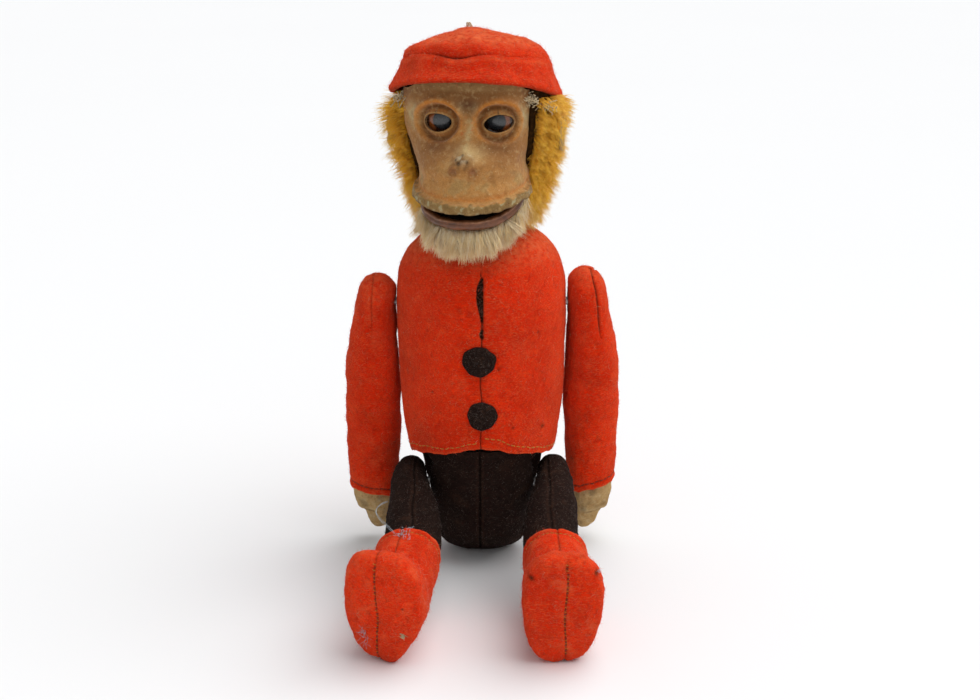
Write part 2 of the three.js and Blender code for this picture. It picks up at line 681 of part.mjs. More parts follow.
const handForm = [
  [34, 47.2, 67.6, 9.8],
  [28, 47, 67.2, 10],
  [22.5, 47.2, 65.8, 9.4],
  [17.5, 47.8, 63.2, 8.6],
  [12.5, 48.8, 60.2, 7.2],
  [8.6, 50, 57.8, 5.4],
  [7, 51.4, 56.2, 3.4],
];

function armSolid(side, rows) {
  return loft(rows.map(([z, near, far, deep]) => {
    const y = SHOULDER.y + 1 + (SHOULDER.z - z) * ARM_LEAN;
    return ring((far - near) / 2, deep, v3((side * (near + far)) / 2, y, z), 16, 2.3);
  }));
}

function makeArm(name, side) {
  const axle = shoulderBar(side, 29.8, 55, 2, 12);
  const sleeve = cut(armSolid(side, sleeveForm), shoulderBar(side, 30, 55.4, 2 + GAP, 14));
  add(group, `sleeve_${name}`, sleeve, look.redFelt());
  add(group, `hand_${name}`, armSolid(side, handForm), look.beigeFelt());
  add(group, `shoulder_pin_${name}`, axle, look.steel());
  const disc = cut(shoulderBar(side, 31.2, 32.6, 7, 16), shoulderBar(side, 29, 36, 2 + GAP, 12));
  add(group, `shoulder_disc_${name}`, disc, look.card());
}

// ---------------------------------------------------------------- legs
// Rows are distance from the hip, half width towards the body, half width away from it, and half height.
const thighForm = [
  [-12.4, 3, 3.5, 3.5],
  [-11, 4.8, 6.4, 6.6],
  [-7.5, 6.2, 8.6, 10.2],
  [0, 7.4, 10.2, 12.6],
  [12, 9.4, 11.2, 13],
  [28, 11.8, 11.8, 13.2],
  [44, 13.4, 12, 13.3],
  [BOOT_TOP - GAP, 14, 12.2, 13.4],
];

// Rows are distance from the hip, half width, lowest and highest edge about the leg's line.
const bootForm = [
  [BOOT_TOP, 14.8, -15.4, 16],
  [70, 15.3, -15.8, 16.4],
  [84, 15.5, -16.2, 16.2],
  [93, 15.8, -17, 17.2],
  [99, 16.4, -17.4, 24],
  [104, 17, -17.8, 34],
  [109, 17.5, -18, 39.5],
  [114, 17.6, -17.9, 41],
  [117, 16.2, -15.5, 39],
  [LEG_LENGTH, 13.4, -11, 35],
];

function makeLeg(name, side, bootYaw) {
  const leg = new THREE.Group();
  leg.position.set(side * HIP.x, HIP.y, HIP.z);
  leg.rotation.x = rad(LEG_SLOPE);
  group.add(leg);
  const inward = -side;
  const place = (a, b) => v3(a, 0, b);
  const thigh = loft(thighForm.map(([along, near, far, high]) =>
    ring((near + far) / 2, high, v3((side * (far - near)) / 2, -along, 0), 16, 2.1, place)));
  const pinHole = barX(0, 0, inward * 40, side * 8.4, 2 + GAP, 14);
  add(leg, `trouser_leg_${name}`, cut(thigh, pinHole), look.brownFelt());

  const drift = side * Math.tan(rad(bootYaw));
  const boot = loft(bootForm.map(([along, wide, low, high]) =>
    ring(wide, (high - low) / 2, v3(drift * (along - BOOT_TOP), -along, (high + low) / 2), 20, 2.25, place)));
  add(leg, `boot_${name}`, boot, look.redFelt());

  add(leg, `hip_pin_${name}`, barX(0, 0, inward * 26, side * 8, 2, 14), look.steel());
  const disc = cut(barX(0, 0, inward * 24.8, inward * 23.4, 4.6, 14), pinHole);
  add(leg, `hip_disc_${name}`, disc, look.card());
}

// ---------------------------------------------------------------- neck
// The post turns the head, and its fork hangs in front of the crank on the clockwork.
function makeNeck() {
  const post = bar(v3(0, 0, plateTop + 3), v3(0, 0, 204), 3.5, 20);
  add(head, 'neck_post', post, look.steel());
  const hub = bar(v3(0, 0, 132), v3(0, 0, 137), 6, 20);
  const arm = box([-2.5, -22, 132.5], [2.5, -3, 134.5]);
  const tine = (side) => box([side * 2.4 - 0.6, -22, 106], [side * 2.4 + 0.6, -20, 134]);
  const bore = bar(v3(0, 0, 120), v3(0, 0, 140), 3.5 + GAP, 20);
  add(head, 'head_fork', cut(join(hub, arm, tine(1), tine(-1)), bore), look.steel());
}

makeSuit();
makeTrousers();
makeButtons();
makeTinBody();
makePlates();
makeMainspring();
makeKeyTrain();
makeSecondTrain();
makeGovernor();
makeHead();
makeCap();
makeJaw();
makeNeck();
makeArm('left', 1);
makeArm('right', -1);
makeLeg('left', 1, 1.8);
makeLeg('right', -1, 9);

export default group;
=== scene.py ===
"""The looks of a seated clockwork monkey in a felt bellhop suit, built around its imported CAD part.

Forms are given in millimetres and become metres when a mesh is made. The monkey faces -Y.
"""
import json
import math

import bpy
import numpy as np
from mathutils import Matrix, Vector


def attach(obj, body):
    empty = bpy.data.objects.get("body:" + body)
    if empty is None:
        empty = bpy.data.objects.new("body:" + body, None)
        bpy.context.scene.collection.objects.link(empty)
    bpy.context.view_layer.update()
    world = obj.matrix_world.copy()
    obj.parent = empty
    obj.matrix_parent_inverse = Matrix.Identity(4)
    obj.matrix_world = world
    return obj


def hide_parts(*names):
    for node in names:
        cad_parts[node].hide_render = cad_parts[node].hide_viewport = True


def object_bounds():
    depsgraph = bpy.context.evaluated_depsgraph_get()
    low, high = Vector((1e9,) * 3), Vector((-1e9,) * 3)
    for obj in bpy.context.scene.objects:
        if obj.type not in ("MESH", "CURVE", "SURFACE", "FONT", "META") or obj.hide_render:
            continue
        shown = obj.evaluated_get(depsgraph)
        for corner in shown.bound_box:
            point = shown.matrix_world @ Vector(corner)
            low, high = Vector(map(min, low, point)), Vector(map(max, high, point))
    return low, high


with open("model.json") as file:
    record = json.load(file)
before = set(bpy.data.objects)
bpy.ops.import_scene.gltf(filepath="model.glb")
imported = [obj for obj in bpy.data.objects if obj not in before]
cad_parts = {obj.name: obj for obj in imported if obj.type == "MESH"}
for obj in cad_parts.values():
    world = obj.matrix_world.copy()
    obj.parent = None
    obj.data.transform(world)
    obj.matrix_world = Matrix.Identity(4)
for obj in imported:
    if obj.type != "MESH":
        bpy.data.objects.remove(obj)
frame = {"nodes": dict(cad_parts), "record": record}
cad_bounds = [[float(v) for v in corner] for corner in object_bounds()]
MM = 0.001
DOWN = np.array([0, 0, -1.0])
SIDES = (("left", 1), ("right", -1))
CAMERA_PLACE = (0.004, -0.8, 0.35)
CAMERA_DOWN = 16.67
CAMERA_LENS = 61.35

HEAD_YAW = -8.4
NECK_X = -1.0
LEG_SLOPE = 14.3
BOOT_TOP = 62.0
BOOT_STITCH = 2.9
HIP = (34.5, -12, 45.5)
MOUTH_Z = 190.4
MOUTH_RISE = 7.4
EYE_X = 14.2
EYE_Y = -26.5
EYE_Z = 229.7


# ---------------- numbers and forms
def table_at(table, at):
    """Smooth curves through rows of numbers, read by the first column."""
    rows = np.array(sorted(table), float)
    key, value = rows[:, 0], rows[:, 1:]
    low = np.maximum(np.arange(len(key)) - 1, 0)
    high = np.minimum(np.arange(len(key)) + 1, len(key) - 1)
    slope = (value[high] - value[low]) / (key[high] - key[low])[:, None]
    inside = np.clip(np.asarray(at, float), key[0], key[-1])
    i = np.clip(np.searchsorted(key, inside) - 1, 0, len(key) - 2)
    span = key[i + 1] - key[i]
    u = (inside - key[i]) / span
    u, span = u[..., None], span[..., None]
    curve = ((1 + 2 * u) * (1 - u) ** 2 * value[i] + u * (1 - u) ** 2 * span * slope[i]
             + u * u * (3 - 2 * u) * value[i + 1] + u * u * (u - 1) * span * slope[i + 1])
    return np.moveaxis(curve, -1, 0)


def waves(points, size, seed):
    """Smooth noise of about -1 to 1, with bumps about `size` across."""
    terms = 12
    random = np.random.default_rng(seed)
    way = random.normal(size=(terms, 3))
    way = unit(way)
    way *= (2 * math.pi / size * random.uniform(0.5, 1.4, terms))[:, None]
    phase = random.uniform(0, 2 * math.pi, terms)
    return np.sin(points @ way.T + phase).sum(-1) / math.sqrt(terms)


def bump(value, width):
    """1 at 0, falling smoothly to 0 over about twice the width."""
    return np.exp(-(value / width) ** 2)


def ease(value, low, high):
    """0 below low, 1 above high, and smooth between."""
    t = np.clip((value - low) / (high - low), 0, 1)
    return t * t * (3 - 2 * t)


def roughness(points, *layers):
    """Noise of several sizes added up. Each layer is a bump size, a seed and a height."""
    return sum(waves(points, size, seed) * height for size, seed, height in layers)


def patches(points, size, seed, low, high):
    """0 where noise is low, 1 where it is high."""
    return ease(waves(points, size, seed), low, high)


def dips(off, *layers):
    """How deep a seam or crease is. Each layer is a depth and a width."""
    return sum(deep * bump(off, wide) for deep, wide in layers)


def oval(x, z, middle_x, middle_z, wide=1.0, high=1.0):
    """Distance from a middle, 1 at the edge of an oval of the given half sizes."""
    return np.hypot((x - middle_x) / wide, (z - middle_z) / high)


def rotated(points, axis, degrees):
    a, b = {"x": (1, 2), "y": (2, 0), "z": (0, 1)}[axis]
    c, s = math.cos(math.radians(degrees)), math.sin(math.radians(degrees))
    out = np.array(points, float)
    first, second = out[..., a].copy(), out[..., b].copy()
    out[..., a] = c * first - s * second
    out[..., b] = s * first + c * second
    return out


def xyz(x, y, z):
    return np.stack(np.broadcast_arrays(x, y, z), -1).astype(float)


def soil_and_light_paint(dirt_and_shade, wear_and_highlight):
    """A felt's paint: grime plus painted shade in grooves and hollows, and paling from use plus painted
    highlight on upper parts.
    """
    return np.clip(xyz(dirt_and_shade, wear_and_highlight, 0.0), 0, 1)


def unit(vectors):
    """The same directions with a length of 1."""
    return vectors / np.maximum(np.linalg.norm(vectors, axis=-1, keepdims=True), 1e-9)


def outward(points):
    """Level unit vectors away from the upright middle line."""
    return unit(points * [1, 1, 0])


def circle(steps):
    """Angles in even steps all round."""
    return np.linspace(0, 2 * math.pi, steps + 1)[:-1]


def round_power(value, power):
    return np.sign(value) * np.abs(value) ** power


def normals_of(grid, wrap=True):
    """Unit normals of a grid of points, which face away from its middle."""
    up = np.gradient(grid, axis=0)
    across = (np.roll(grid, -1, 1) - np.roll(grid, 1, 1)) / 2 if wrap else np.gradient(grid, axis=1)
    normal = np.cross(across, up)
    normal = unit(normal)
    outward = ((grid - grid.mean((0, 1))) * normal).sum()
    return normal if outward >= 0 else -normal


def pushed(grid, amount, wrap=True):
    return grid + normals_of(grid, wrap) * np.asarray(amount)[..., None]


# ---------------- meshes
def add_piece(name, points, faces, material, body, paint=None, stands_for=(), slot=None, crease=50):
    """A mesh from points in millimetres and arrays of triangles and quads."""
    used = np.zeros(len(points), bool)
    for face in faces:
        used[face.ravel()] = True
    order = np.cumsum(used) - 1
    points = points[used]
    faces = [order[face] for face in faces if len(face)]
    a, b, c = (points[np.concatenate([face[:, k] for face in faces])] for k in range(3))
    middle = points.mean(0)
    volume = (np.cross(b - a, c - a) * (a - middle)).sum()
    if volume < 0:
        faces = [face[:, ::-1] for face in faces]
    mesh = bpy.data.meshes.new(name)
    mesh.vertices.add(len(points))
    mesh.vertices.foreach_set("co", (points * MM).astype(np.float32).ravel())
    loops = np.concatenate([face.ravel() for face in faces])
    totals = np.concatenate([np.full(len(face), face.shape[1]) for face in faces])
    mesh.loops.add(len(loops))
    mesh.loops.foreach_set("vertex_index", loops.astype(np.int32))
    mesh.polygons.add(len(totals))
    mesh.polygons.foreach_set("loop_start", (np.cumsum(totals) - totals).astype(np.int32))
    mesh.update(calc_edges=True)
    mesh.polygons.foreach_set("use_smooth", np.ones(len(totals), bool))
    if crease:
        mesh.set_sharp_from_angle(angle=math.radians(crease))
    if paint is not None:
        paint = np.asarray(paint, float)[used]
        colour = np.concatenate([paint, np.ones((len(paint), 4 - paint.shape[1]))], 1)
        layer = mesh.color_attributes.new("paint", "FLOAT_COLOR", "POINT")
        layer.data.foreach_set("color", colour.astype(np.float32).ravel())
    mesh.materials.append(material)
    piece = bpy.data.objects.new(name, mesh)
    bpy.context.scene.collection.objects.link(piece)
    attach(piece, body)
    if stands_for:
        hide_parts(*stands_for)
    return piece


def loft_faces(rows, columns):
    """Quads over closed rings, and triangles to a middle point at each end."""
    i, j = np.meshgrid(np.arange(rows - 1), np.arange(columns), indexing="ij")
    a, b = (i * columns + j).ravel(), (i * columns + (j + 1) % columns).ravel()
    quads = np.stack([a, b, b + columns, a + columns], 1)
    j = np.arange(columns)
    first, last, top = rows * columns, rows * columns + 1, (rows - 1) * columns
    low = np.stack([(j + 1) % columns, j, np.full(columns, first)], 1)
    high = np.stack([top + j, top + (j + 1) % columns, np.full(columns, last)], 1)
    return [quads, np.concatenate([low, high])]


def add_loft(name, grid, material, body, paint=None, **more):
    """A solid skinned over a grid whose columns are closed rings."""
    rows, columns = grid.shape[:2]
    points = np.concatenate([grid.reshape(-1, 3), grid[:1].mean(1), grid[-1:].mean(1)])
    if paint is not None:
        paint = np.concatenate([paint.reshape(rows * columns, -1), paint[:1].mean(1), paint[-1:].mean(1)])
    return add_piece(name, points, loft_faces(rows, columns), material, body, paint, **more)


def add_sheet(name, outer, inner, material, body, paint=None, kept=None, wrap=True, **more):
    """A sheet with thickness over two grids. Cells that aren't kept are holes with walls round them."""
    rows, columns = outer.shape[:2]
    wide = columns if wrap else columns - 1
    if kept is None:
        kept = np.ones((rows - 1, wide), bool)
    i, j = np.meshgrid(np.arange(rows - 1), np.arange(wide), indexing="ij")
    a, b = i * columns + j, i * columns + (j + 1) % columns
    c, d = b + columns, a + columns
    half = rows * columns
    quads = [np.stack([a, b, c, d], -1)[kept], np.stack([a, d, c, b], -1)[kept] + half]
    blank = np.zeros((1, wide), bool)
    below = np.concatenate([blank, kept[:-1]])
    above = np.concatenate([kept[1:], blank])
    left, right = np.roll(kept, 1, 1), np.roll(kept, -1, 1)
    if not wrap:
        left[:, 0] = False
        right[:, -1] = False
    for beside, p, q in ((below, a, b), (above, c, d), (left, d, a), (right, b, c)):
        edge = kept & ~beside
        quads.append(np.stack([q, p, p + half, q + half], -1)[edge])
    points = np.concatenate([outer.reshape(-1, 3), inner.reshape(-1, 3)])
    if paint is not None:
        flat = paint.reshape(rows * columns, -1)
        paint = np.concatenate([flat, flat])
    return add_piece(name, points, [np.concatenate(quads)], material, body, paint, **more)


def tube_mesh(paths, radii, sides):
    """Points and faces of thin closed tubes along paths of shape (count, steps, 3)."""
    count, steps = paths.shape[:2]
    radii = np.broadcast_to(radii, (count, steps))
    way = np.gradient(paths, axis=1)
    way = unit(way)
    flat = np.where(np.abs(way[:, :1, 2:]) < 0.8, [[[0.0, 0.0, 1.0]]], [[[1.0, 0.0, 0.0]]])
    side = np.cross(way, flat)
    side = unit(side)
    other = np.cross(way, side)
    turn = np.arange(sides) * 2 * math.pi / sides
    ring = (side[:, :, None] * np.cos(turn)[:, None] + other[:, :, None] * np.sin(turn)[:, None])
    points = paths[:, :, None] + ring * radii[:, :, None, None]
    k, s = np.meshgrid(np.arange(steps - 1), np.arange(sides), indexing="ij")
    a, b = (k * sides + s).ravel(), (k * sides + (s + 1) % sides).ravel()
    quads = np.stack([a, b, b + sides, a + sides], 1)
    ends = np.stack([np.arange(sides)[::-1], (steps - 1) * sides + np.arange(sides)])
    start = (np.arange(count) * steps * sides)[:, None, None]
    return points.reshape(-1, 3), [(quads + start).reshape(-1, 4), (ends + start).reshape(-1, sides)]


def add_tubes(name, paths, radii, material, body, sides=6, paint=None, **more):
    paths = np.asarray(paths, float)
    points, faces = tube_mesh(paths, radii, sides)
    if paint is not None:
        paint = np.broadcast_to(paint, (*paths.shape[:2], paint.shape[-1]))
        paint = np.repeat(paint.reshape(-1, paint.shape[-1]), sides, axis=0)
    return add_piece(name, points, faces, material, body, paint, crease=0, **more)


def scatter(grid, count, seed, weight=None, wrap=True):
    """Random places over a grid's cells, with their normals."""
    random = np.random.default_rng(seed)
    normal = normals_of(grid, wrap)
    if wrap:
        grid = np.concatenate([grid, grid[:, :1]], 1)
        normal = np.concatenate([normal, normal[:, :1]], 1)
        weight = weight if weight is None else np.concatenate([weight, weight[:, :1]], 1)
    across = grid[:-1, 1:] - grid[:-1, :-1]
    up = grid[1:, :-1] - grid[:-1, :-1]
    area = np.linalg.norm(np.cross(across, up), axis=2)
    if weight is not None:
        area = area * weight[:-1, :-1]
    chance = area.ravel() / area.sum()
    cell = random.choice(chance.size, count, p=chance)
    i, j = np.divmod(cell, area.shape[1])
    u, v = random.random((2, count, 1))

    def read(values):
        return ((1 - u) * (1 - v) * values[i, j] + (1 - u) * v * values[i, j + 1]
                + u * (1 - v) * values[i + 1, j] + u * v * values[i + 1, j + 1])
    return read(grid), read(normal)


def add_fuzz(name, grid, count, seed, material, body, length=1.4, stand=0.5, radius=0.045):
    """Loose fibres on a felt surface."""
    random = np.random.default_rng(seed)
    root, normal = scatter(grid, count, seed)
    around = random.normal(size=(count, 3))
    around -= (around * normal).sum(1, keepdims=True) * normal
    around = unit(around)
    rise = stand * random.uniform(0.1, 1.2, (count, 1)) ** 1.5
    size = length * random.uniform(0.35, 1.3, (count, 1)) ** 1.5
    twist = np.cross(normal, around) * random.uniform(-0.8, 0.8, (count, 1))
    steps = np.linspace(0, 1, 4)[None, :, None]
    paths = (root - 0.08 * normal)[:, None] + size[:, None] * (
        around[:, None] * steps * (1 - 0.35 * steps) + normal[:, None] * rise[:, None] * steps
        + twist[:, None] * steps ** 2)
    radii = radius * np.array([1.0, 0.9, 0.7, 0.2])
    paint = np.concatenate([random.random((count, 1, 1)), np.zeros((count, 1, 2))], 2)
    return add_tubes(name, paths, radii, material, body, 3, paint)


def stitches(line, normal, dash, gap, sink=0.12, rise=0.22):
    """Paths of running stitches along a line of points, each dipping into the cloth at its ends."""
    step = np.linalg.norm(np.diff(line, axis=0), axis=1)
    along = np.concatenate([[0], np.cumsum(step)])
    starts = np.arange(gap, along[-1] - dash, dash + gap)
    share = np.linspace(0, 1, 5)
    paths = []
    for k, start in enumerate(starts):
        at = start + 0.15 * gap * math.sin(7.1 * k) + share * dash
        place = np.stack([np.interp(at, along, line[:, a]) for a in range(3)], 1)
        lift = np.stack([np.interp(at, along, normal[:, a]) for a in range(3)], 1)
        paths.append(place + lift * (rise * np.sin(math.pi * share) - sink)[:, None])
    return np.array(paths)


# ---------------- materials
class Finish:
    """A node material, with short ways to add nodes to it."""

    def __init__(self, name, **sockets):
        self.material = bpy.data.materials.new(name)
        self.material.use_nodes = True
        self.tree = self.material.node_tree
        self.shader = self.tree.nodes["Principled BSDF"]
        for key, value in sockets.items():
            socket = key.replace("_", " ").title().replace("Ior", "IOR")
            self.shader.inputs[socket].default_value = value
        self.place = self.add("TexCoord").outputs["Object"]

    def add(self, kind, inputs=None, **settings):
        node = self.tree.nodes.new("ShaderNode" + kind)
        for key, value in settings.items():
            setattr(node, key, value)
        for key, value in (inputs or {}).items():
            self.put(node.inputs[key], value)
        return node

    def put(self, socket, value):
        if isinstance(value, bpy.types.NodeSocket):
            self.tree.links.new(value, socket)
        else:
            socket.default_value = value

    def noise(self, scale, detail=3.0, twist=0.0, place=None):
        inputs = {"Vector": place or self.place, "Scale": scale, "Detail": detail, "Distortion": twist}
        return self.add("TexNoise", inputs).outputs["Fac"]

    def stretched(self, scales, turn):
        node = self.add("Mapping", {"Vector": self.place, "Rotation": turn, "Scale": scales})
        return node.outputs["Vector"]

    def span(self, value, low, high, to_low=0.0, to_high=1.0):
        inputs = {"Value": value, "From Min": low, "From Max": high, "To Min": to_low, "To Max": to_high}
        return self.add("MapRange", inputs).outputs["Result"]

    def mix(self, share, first, second):
        node = self.add("Mix", data_type="RGBA", blend_type="MIX")
        self.put(node.inputs[0], share)
        self.put(node.inputs[6], first)
        self.put(node.inputs[7], second)
        return node.outputs[2]

    def mottle(self, colour, other, noise, low, high, least=0.0, most=1.0):
        """A colour with another over it. Noise sets how much, from least at low to most at high."""
        return self.mix(self.span(self.noise(*noise), low, high, least, most), colour, other)

    def math(self, operation, first, second=0.0):
        return self.add("Math", {0: first, 1: second}, operation=operation).outputs[0]

    def colour(self, value):
        self.put(self.shader.inputs["Base Color"], value)

    def relief(self, height, distance, strength=1.0):
        node = self.add("Bump", {"Height": height, "Distance": distance, "Strength": strength})
        self.put(self.shader.inputs["Normal"], node.outputs["Normal"])

    def paint(self):
        """The piece's own painted channels: red soils, green wears, blue tints. On felt red also holds
        painted shade and green painted highlight; on the lip green is a painted highlight.
        """
        node = self.add("Attribute", attribute_name="paint")
        split = self.add("SeparateColor", {"Color": node.outputs["Color"]})
        return split.outputs["Red"], split.outputs["Green"], split.outputs["Blue"]


def tint(red, green, blue):
    """A linear colour from the usual 0 to 255 values."""
    def linear(v):
        v /= 255
        return v / 12.92 if v <= 0.04045 else ((v + 0.055) / 1.055) ** 2.4
    return (linear(red), linear(green), linear(blue), 1.0)


# Near black: the colour of grime and of painted shade.
SHADE_AND_SOIL = (0.006, 0.003, 0.002, 1)


def felt(name, base, deep, pale, fibre, worn_and_lit, sheen=0.3):
    """Pressed wool: mottled colour, fibres in all directions, and where painted, grime with painted shade
    and paling from use with painted highlight.
    """
    f = Finish(name, roughness=0.95, sheen_weight=sheen, sheen_roughness=0.5, specular_ior_level=0.04)
    f.shader.inputs["Sheen Tint"].default_value = fibre
    soiled_and_shaded, wear_and_highlight, _ = f.paint()
    colour = f.mottle(base, deep, (26, 3), 0.35, 0.72, 0, 0.75)
    colour = f.mottle(colour, pale, (330, 5, 0.9), 0.50, 0.74, 0, 0.55)
    colour = f.mottle(colour, deep, (300, 5, 0.7), 0.46, 0.28, 0, 0.8)
    turns = ((0.3, 0.2, 0.5), (1.2, 0.4, 1.9), (0.5, 1.4, 2.8))
    hairs = None
    for turn in turns:
        line = f.noise(1.0, 2, 0.35, f.stretched((380, 2400, 2400), turn))
        ridge = f.span(line, 0.56, 0.74)
        hairs = ridge if hairs is None else f.math("MAXIMUM", hairs, ridge)
    patchy = f.math("MULTIPLY", hairs, f.span(f.noise(95, 2), 0.35, 0.7, 0.1, 0.5))
    colour = f.mix(patchy, colour, fibre)
    grain = f.noise(1500, 3, 0.8)
    colour = f.mix(f.span(grain, 0.3, 0.62, 0.6, 0.0), colour, deep)
    # Green paint pales the felt: paling from use, and painted highlight on upper parts.
    worn_and_lit_here = f.math("MULTIPLY", wear_and_highlight, f.span(f.noise(420, 4), 0.35, 0.62, 0.1, 0.8))
    colour = f.mix(worn_and_lit_here, colour, worn_and_lit)
    # Red paint darkens the felt: grime, and painted shade in seams, creases and hollows.
    colour = f.mix(soiled_and_shaded, colour, SHADE_AND_SOIL)
    f.colour(colour)
    height = f.math("ADD", f.math("MULTIPLY", grain, 0.5), f.math("MULTIPLY", hairs, 0.35))
    height = f.math("ADD", height, f.math("MULTIPLY", f.noise(300, 4), 0.9))
    f.relief(height, 0.0011, 0.85)
    return f.material


def fibres(name, dark, light):
    """Loose wool fibres, each of its own shade."""
    f = Finish(name, roughness=0.75, sheen_weight=0.2, specular_ior_level=0.25)
    shade, _, _ = f.paint()
    shade = f.math("ADD", f.math("MULTIPLY", shade, 0.8), f.span(f.noise(900, 2), 0.3, 0.7, 0, 0.2))
    f.colour(f.mix(shade, dark, light))
    return f.material


def mohair(name, root, middle, tip, white):
    """Pile hair: red is each lock's own shade, green runs from root to tip, blue is how white it is."""
    f = Finish(name, roughness=0.5, specular_ior_level=0.35, sheen_weight=0.1, sheen_roughness=0.4)
    shade, along, bleached = f.paint()
    # Painted shade: the hairs are darker at the root, where the pile shades itself, and lighter towards the
    # tip.
    colour = f.mix(f.span(along, 0.0, 0.45), root, middle)
    colour = f.mix(f.span(along, 0.35, 1.0), colour, tip)
    colour = f.mix(f.span(shade, 0.0, 1.0, 0.0, 0.55), colour, middle)
    colour = f.mix(bleached, colour, white)
    shadow = f.span(f.noise(190, 3), 0.3, 0.6, 0.3, 0.0)
    f.colour(f.mix(shadow, colour, root))
    return f.material


def thread(name, dark, light):
    """Twisted cotton thread."""
    f = Finish(name, roughness=0.7, specular_ior_level=0.3, sheen_weight=0.2)
    ply = f.noise(1.0, 2, 0.5, f.stretched((2600, 900, 2600), (0.4, 0.3, 0.8)))
    f.colour(f.mix(f.span(ply, 0.35, 0.65), dark, light))
    f.relief(ply, 0.0003, 0.6)
    return f.material


def metal(name, colour, tarnish, roughness):
    """Worked metal with fine tool marks and patches of tarnish."""
    f = Finish(name, metallic=1.0, roughness=roughness)
    lines = f.noise(1.0, 3, 0.1, f.stretched((900, 900, 60), (0.0, 0.0, 0.2)))
    stained = f.span(f.noise(120, 5, 0.7), 0.48, 0.7)
    f.colour(f.mix(stained, f.mix(f.span(lines, 0.3, 0.7, 0, 0.3), colour, tarnish), tarnish))
    rough = f.math("ADD", f.math("MULTIPLY", stained, 0.3),
                   f.span(lines, 0.3, 0.7, roughness - 0.08, roughness + 0.1))
    f.put(f.shader.inputs["Roughness"], rough)
    f.relief(f.math("ADD", lines, f.math("MULTIPLY", stained, 0.4)), 0.00008, 0.4)
    return f.material


def card(name, base, deep):
    f = Finish(name, roughness=0.9, specular_ior_level=0.2)
    pulp = f.noise(900, 4, 0.6)
    colour = f.mix(f.span(pulp, 0.4, 0.7, 0, 0.5), base, deep)
    f.colour(f.mottle(colour, deep, (160, 4), 0.35, 0.7))
    f.relief(pulp, 0.0002, 0.5)
    return f.material


def mask_finish():
    """Painted felt over a moulded face: its colours are on the mesh, with grain and scuffs over them."""
    f = Finish("mask", roughness=0.8, specular_ior_level=0.14, sheen_weight=0.1, sheen_roughness=0.5)
    colour = f.add("Attribute", attribute_name="paint").outputs["Color"]
    weave = f.noise(1900, 3, 0.2)
    colour = f.mix(f.span(weave, 0.35, 0.7, 0.0, 0.30), colour, tint(84, 50, 22))
    colour = f.mottle(colour, tint(206, 176, 124), (460, 5, 0.2), 0.52, 0.75, 0.0, 0.30)
    colour = f.mottle(colour, tint(104, 66, 32), (300, 5, 0.3), 0.48, 0.3, 0.0, 0.35)
    colour = f.mottle(colour, tint(226, 206, 166), (1300, 2, 0.0), 0.68, 0.76, 0.0, 0.4)
    f.colour(colour)
    height = f.math("ADD", f.math("MULTIPLY", weave, 0.7), f.noise(420, 4))
    f.relief(height, 0.0004, 0.8)
    return f.material


def lip_finish():
    """Brown oilcloth with a dull shine and a painted highlight, lighter along its ridge."""
    f = Finish("lip", roughness=0.38, specular_ior_level=0.5, coat_weight=0.25, coat_roughness=0.3)
    _, highlight_amount, _ = f.paint()
    colour = f.mottle(tint(116, 64, 28), tint(74, 38, 12), (300, 5, 0.5), 0.35, 0.7)
    # Painted highlight along the ridge, broken up by noise.
    highlight_amount = f.math("MULTIPLY", highlight_amount, f.span(f.noise(420, 4), 0.3, 0.65))
    colour = f.mix(highlight_amount, colour, tint(178, 126, 92))
    f.colour(colour)
    f.put(f.shader.inputs["Roughness"], f.span(f.noise(260, 4), 0.3, 0.7, 0.3, 0.6))
    f.relief(f.noise(700, 4), 0.0003, 0.5)
    return f.material


def eye_finish():
    """Old glass, painted behind and clouded in front."""
    f = Finish("eye", roughness=0.22, specular_ior_level=0.5, coat_weight=0.6, coat_roughness=0.12)
    colour = f.add("Attribute", attribute_name="paint").outputs["Color"]
    cloud = f.noise(420, 5, 0.8)
    colour = f.mix(f.span(cloud, 0.4, 0.75, 0.0, 0.12), colour, tint(90, 96, 102))
    f.colour(colour)
    f.put(f.shader.inputs["Roughness"], f.span(cloud, 0.3, 0.7, 0.16, 0.42))
    f.relief(cloud, 0.00008, 0.4)
    return f.material


red = felt("red_felt", (0.92, 0.030, 0.0018, 1), (0.52, 0.010, 0.0006, 1), (0.98, 0.075, 0.010, 1),
           (1.0, 0.28, 0.11, 1), (0.95, 0.20, 0.07, 1), sheen=0.35)
brown = felt("brown_felt", (0.022, 0.0115, 0.009, 1), (0.010, 0.005, 0.004, 1), (0.046, 0.026, 0.018, 1),
             (0.10, 0.07, 0.055, 1), (0.09, 0.042, 0.024, 1), sheen=0.05)
beige = felt("beige_felt", tint(218, 186, 132), tint(168, 126, 72), tint(232, 208, 162),
             tint(214, 198, 162), tint(206, 190, 154), sheen=0.15)
red_fibre = fibres("red_fibre", (0.62, 0.016, 0.002, 1), (0.96, 0.16, 0.06, 1))
brown_fibre = fibres("brown_fibre", (0.03, 0.018, 0.014, 1), (0.20, 0.15, 0.12, 1))
beige_fibre = fibres("beige_fibre", tint(150, 120, 76), tint(222, 206, 172))
gold = mohair("gold_mohair", tint(156, 90, 10), tint(250, 182, 28), tint(255, 216, 86), tint(250, 238, 206))
white = mohair("white_mohair", tint(182, 130, 62), tint(250, 226, 170), tint(232, 188, 112),
               tint(252, 246, 228))
backing = felt("pelt_backing", tint(110, 66, 18), tint(62, 36, 12), tint(150, 98, 34),
               tint(176, 124, 50), tint(150, 104, 48), sheen=0.1)
ochre_thread = thread("ochre_thread", tint(150, 84, 14), tint(226, 150, 40))
dark_thread = thread("dark_thread", tint(46, 18, 8), tint(104, 52, 22))
linen = thread("linen_thread", tint(150, 122, 78), tint(226, 208, 170))
lint_blue = thread("lint_thread", tint(128, 152, 168), tint(206, 220, 226))
mask = mask_finish()
lip = lip_finish()
glass = eye_finish()


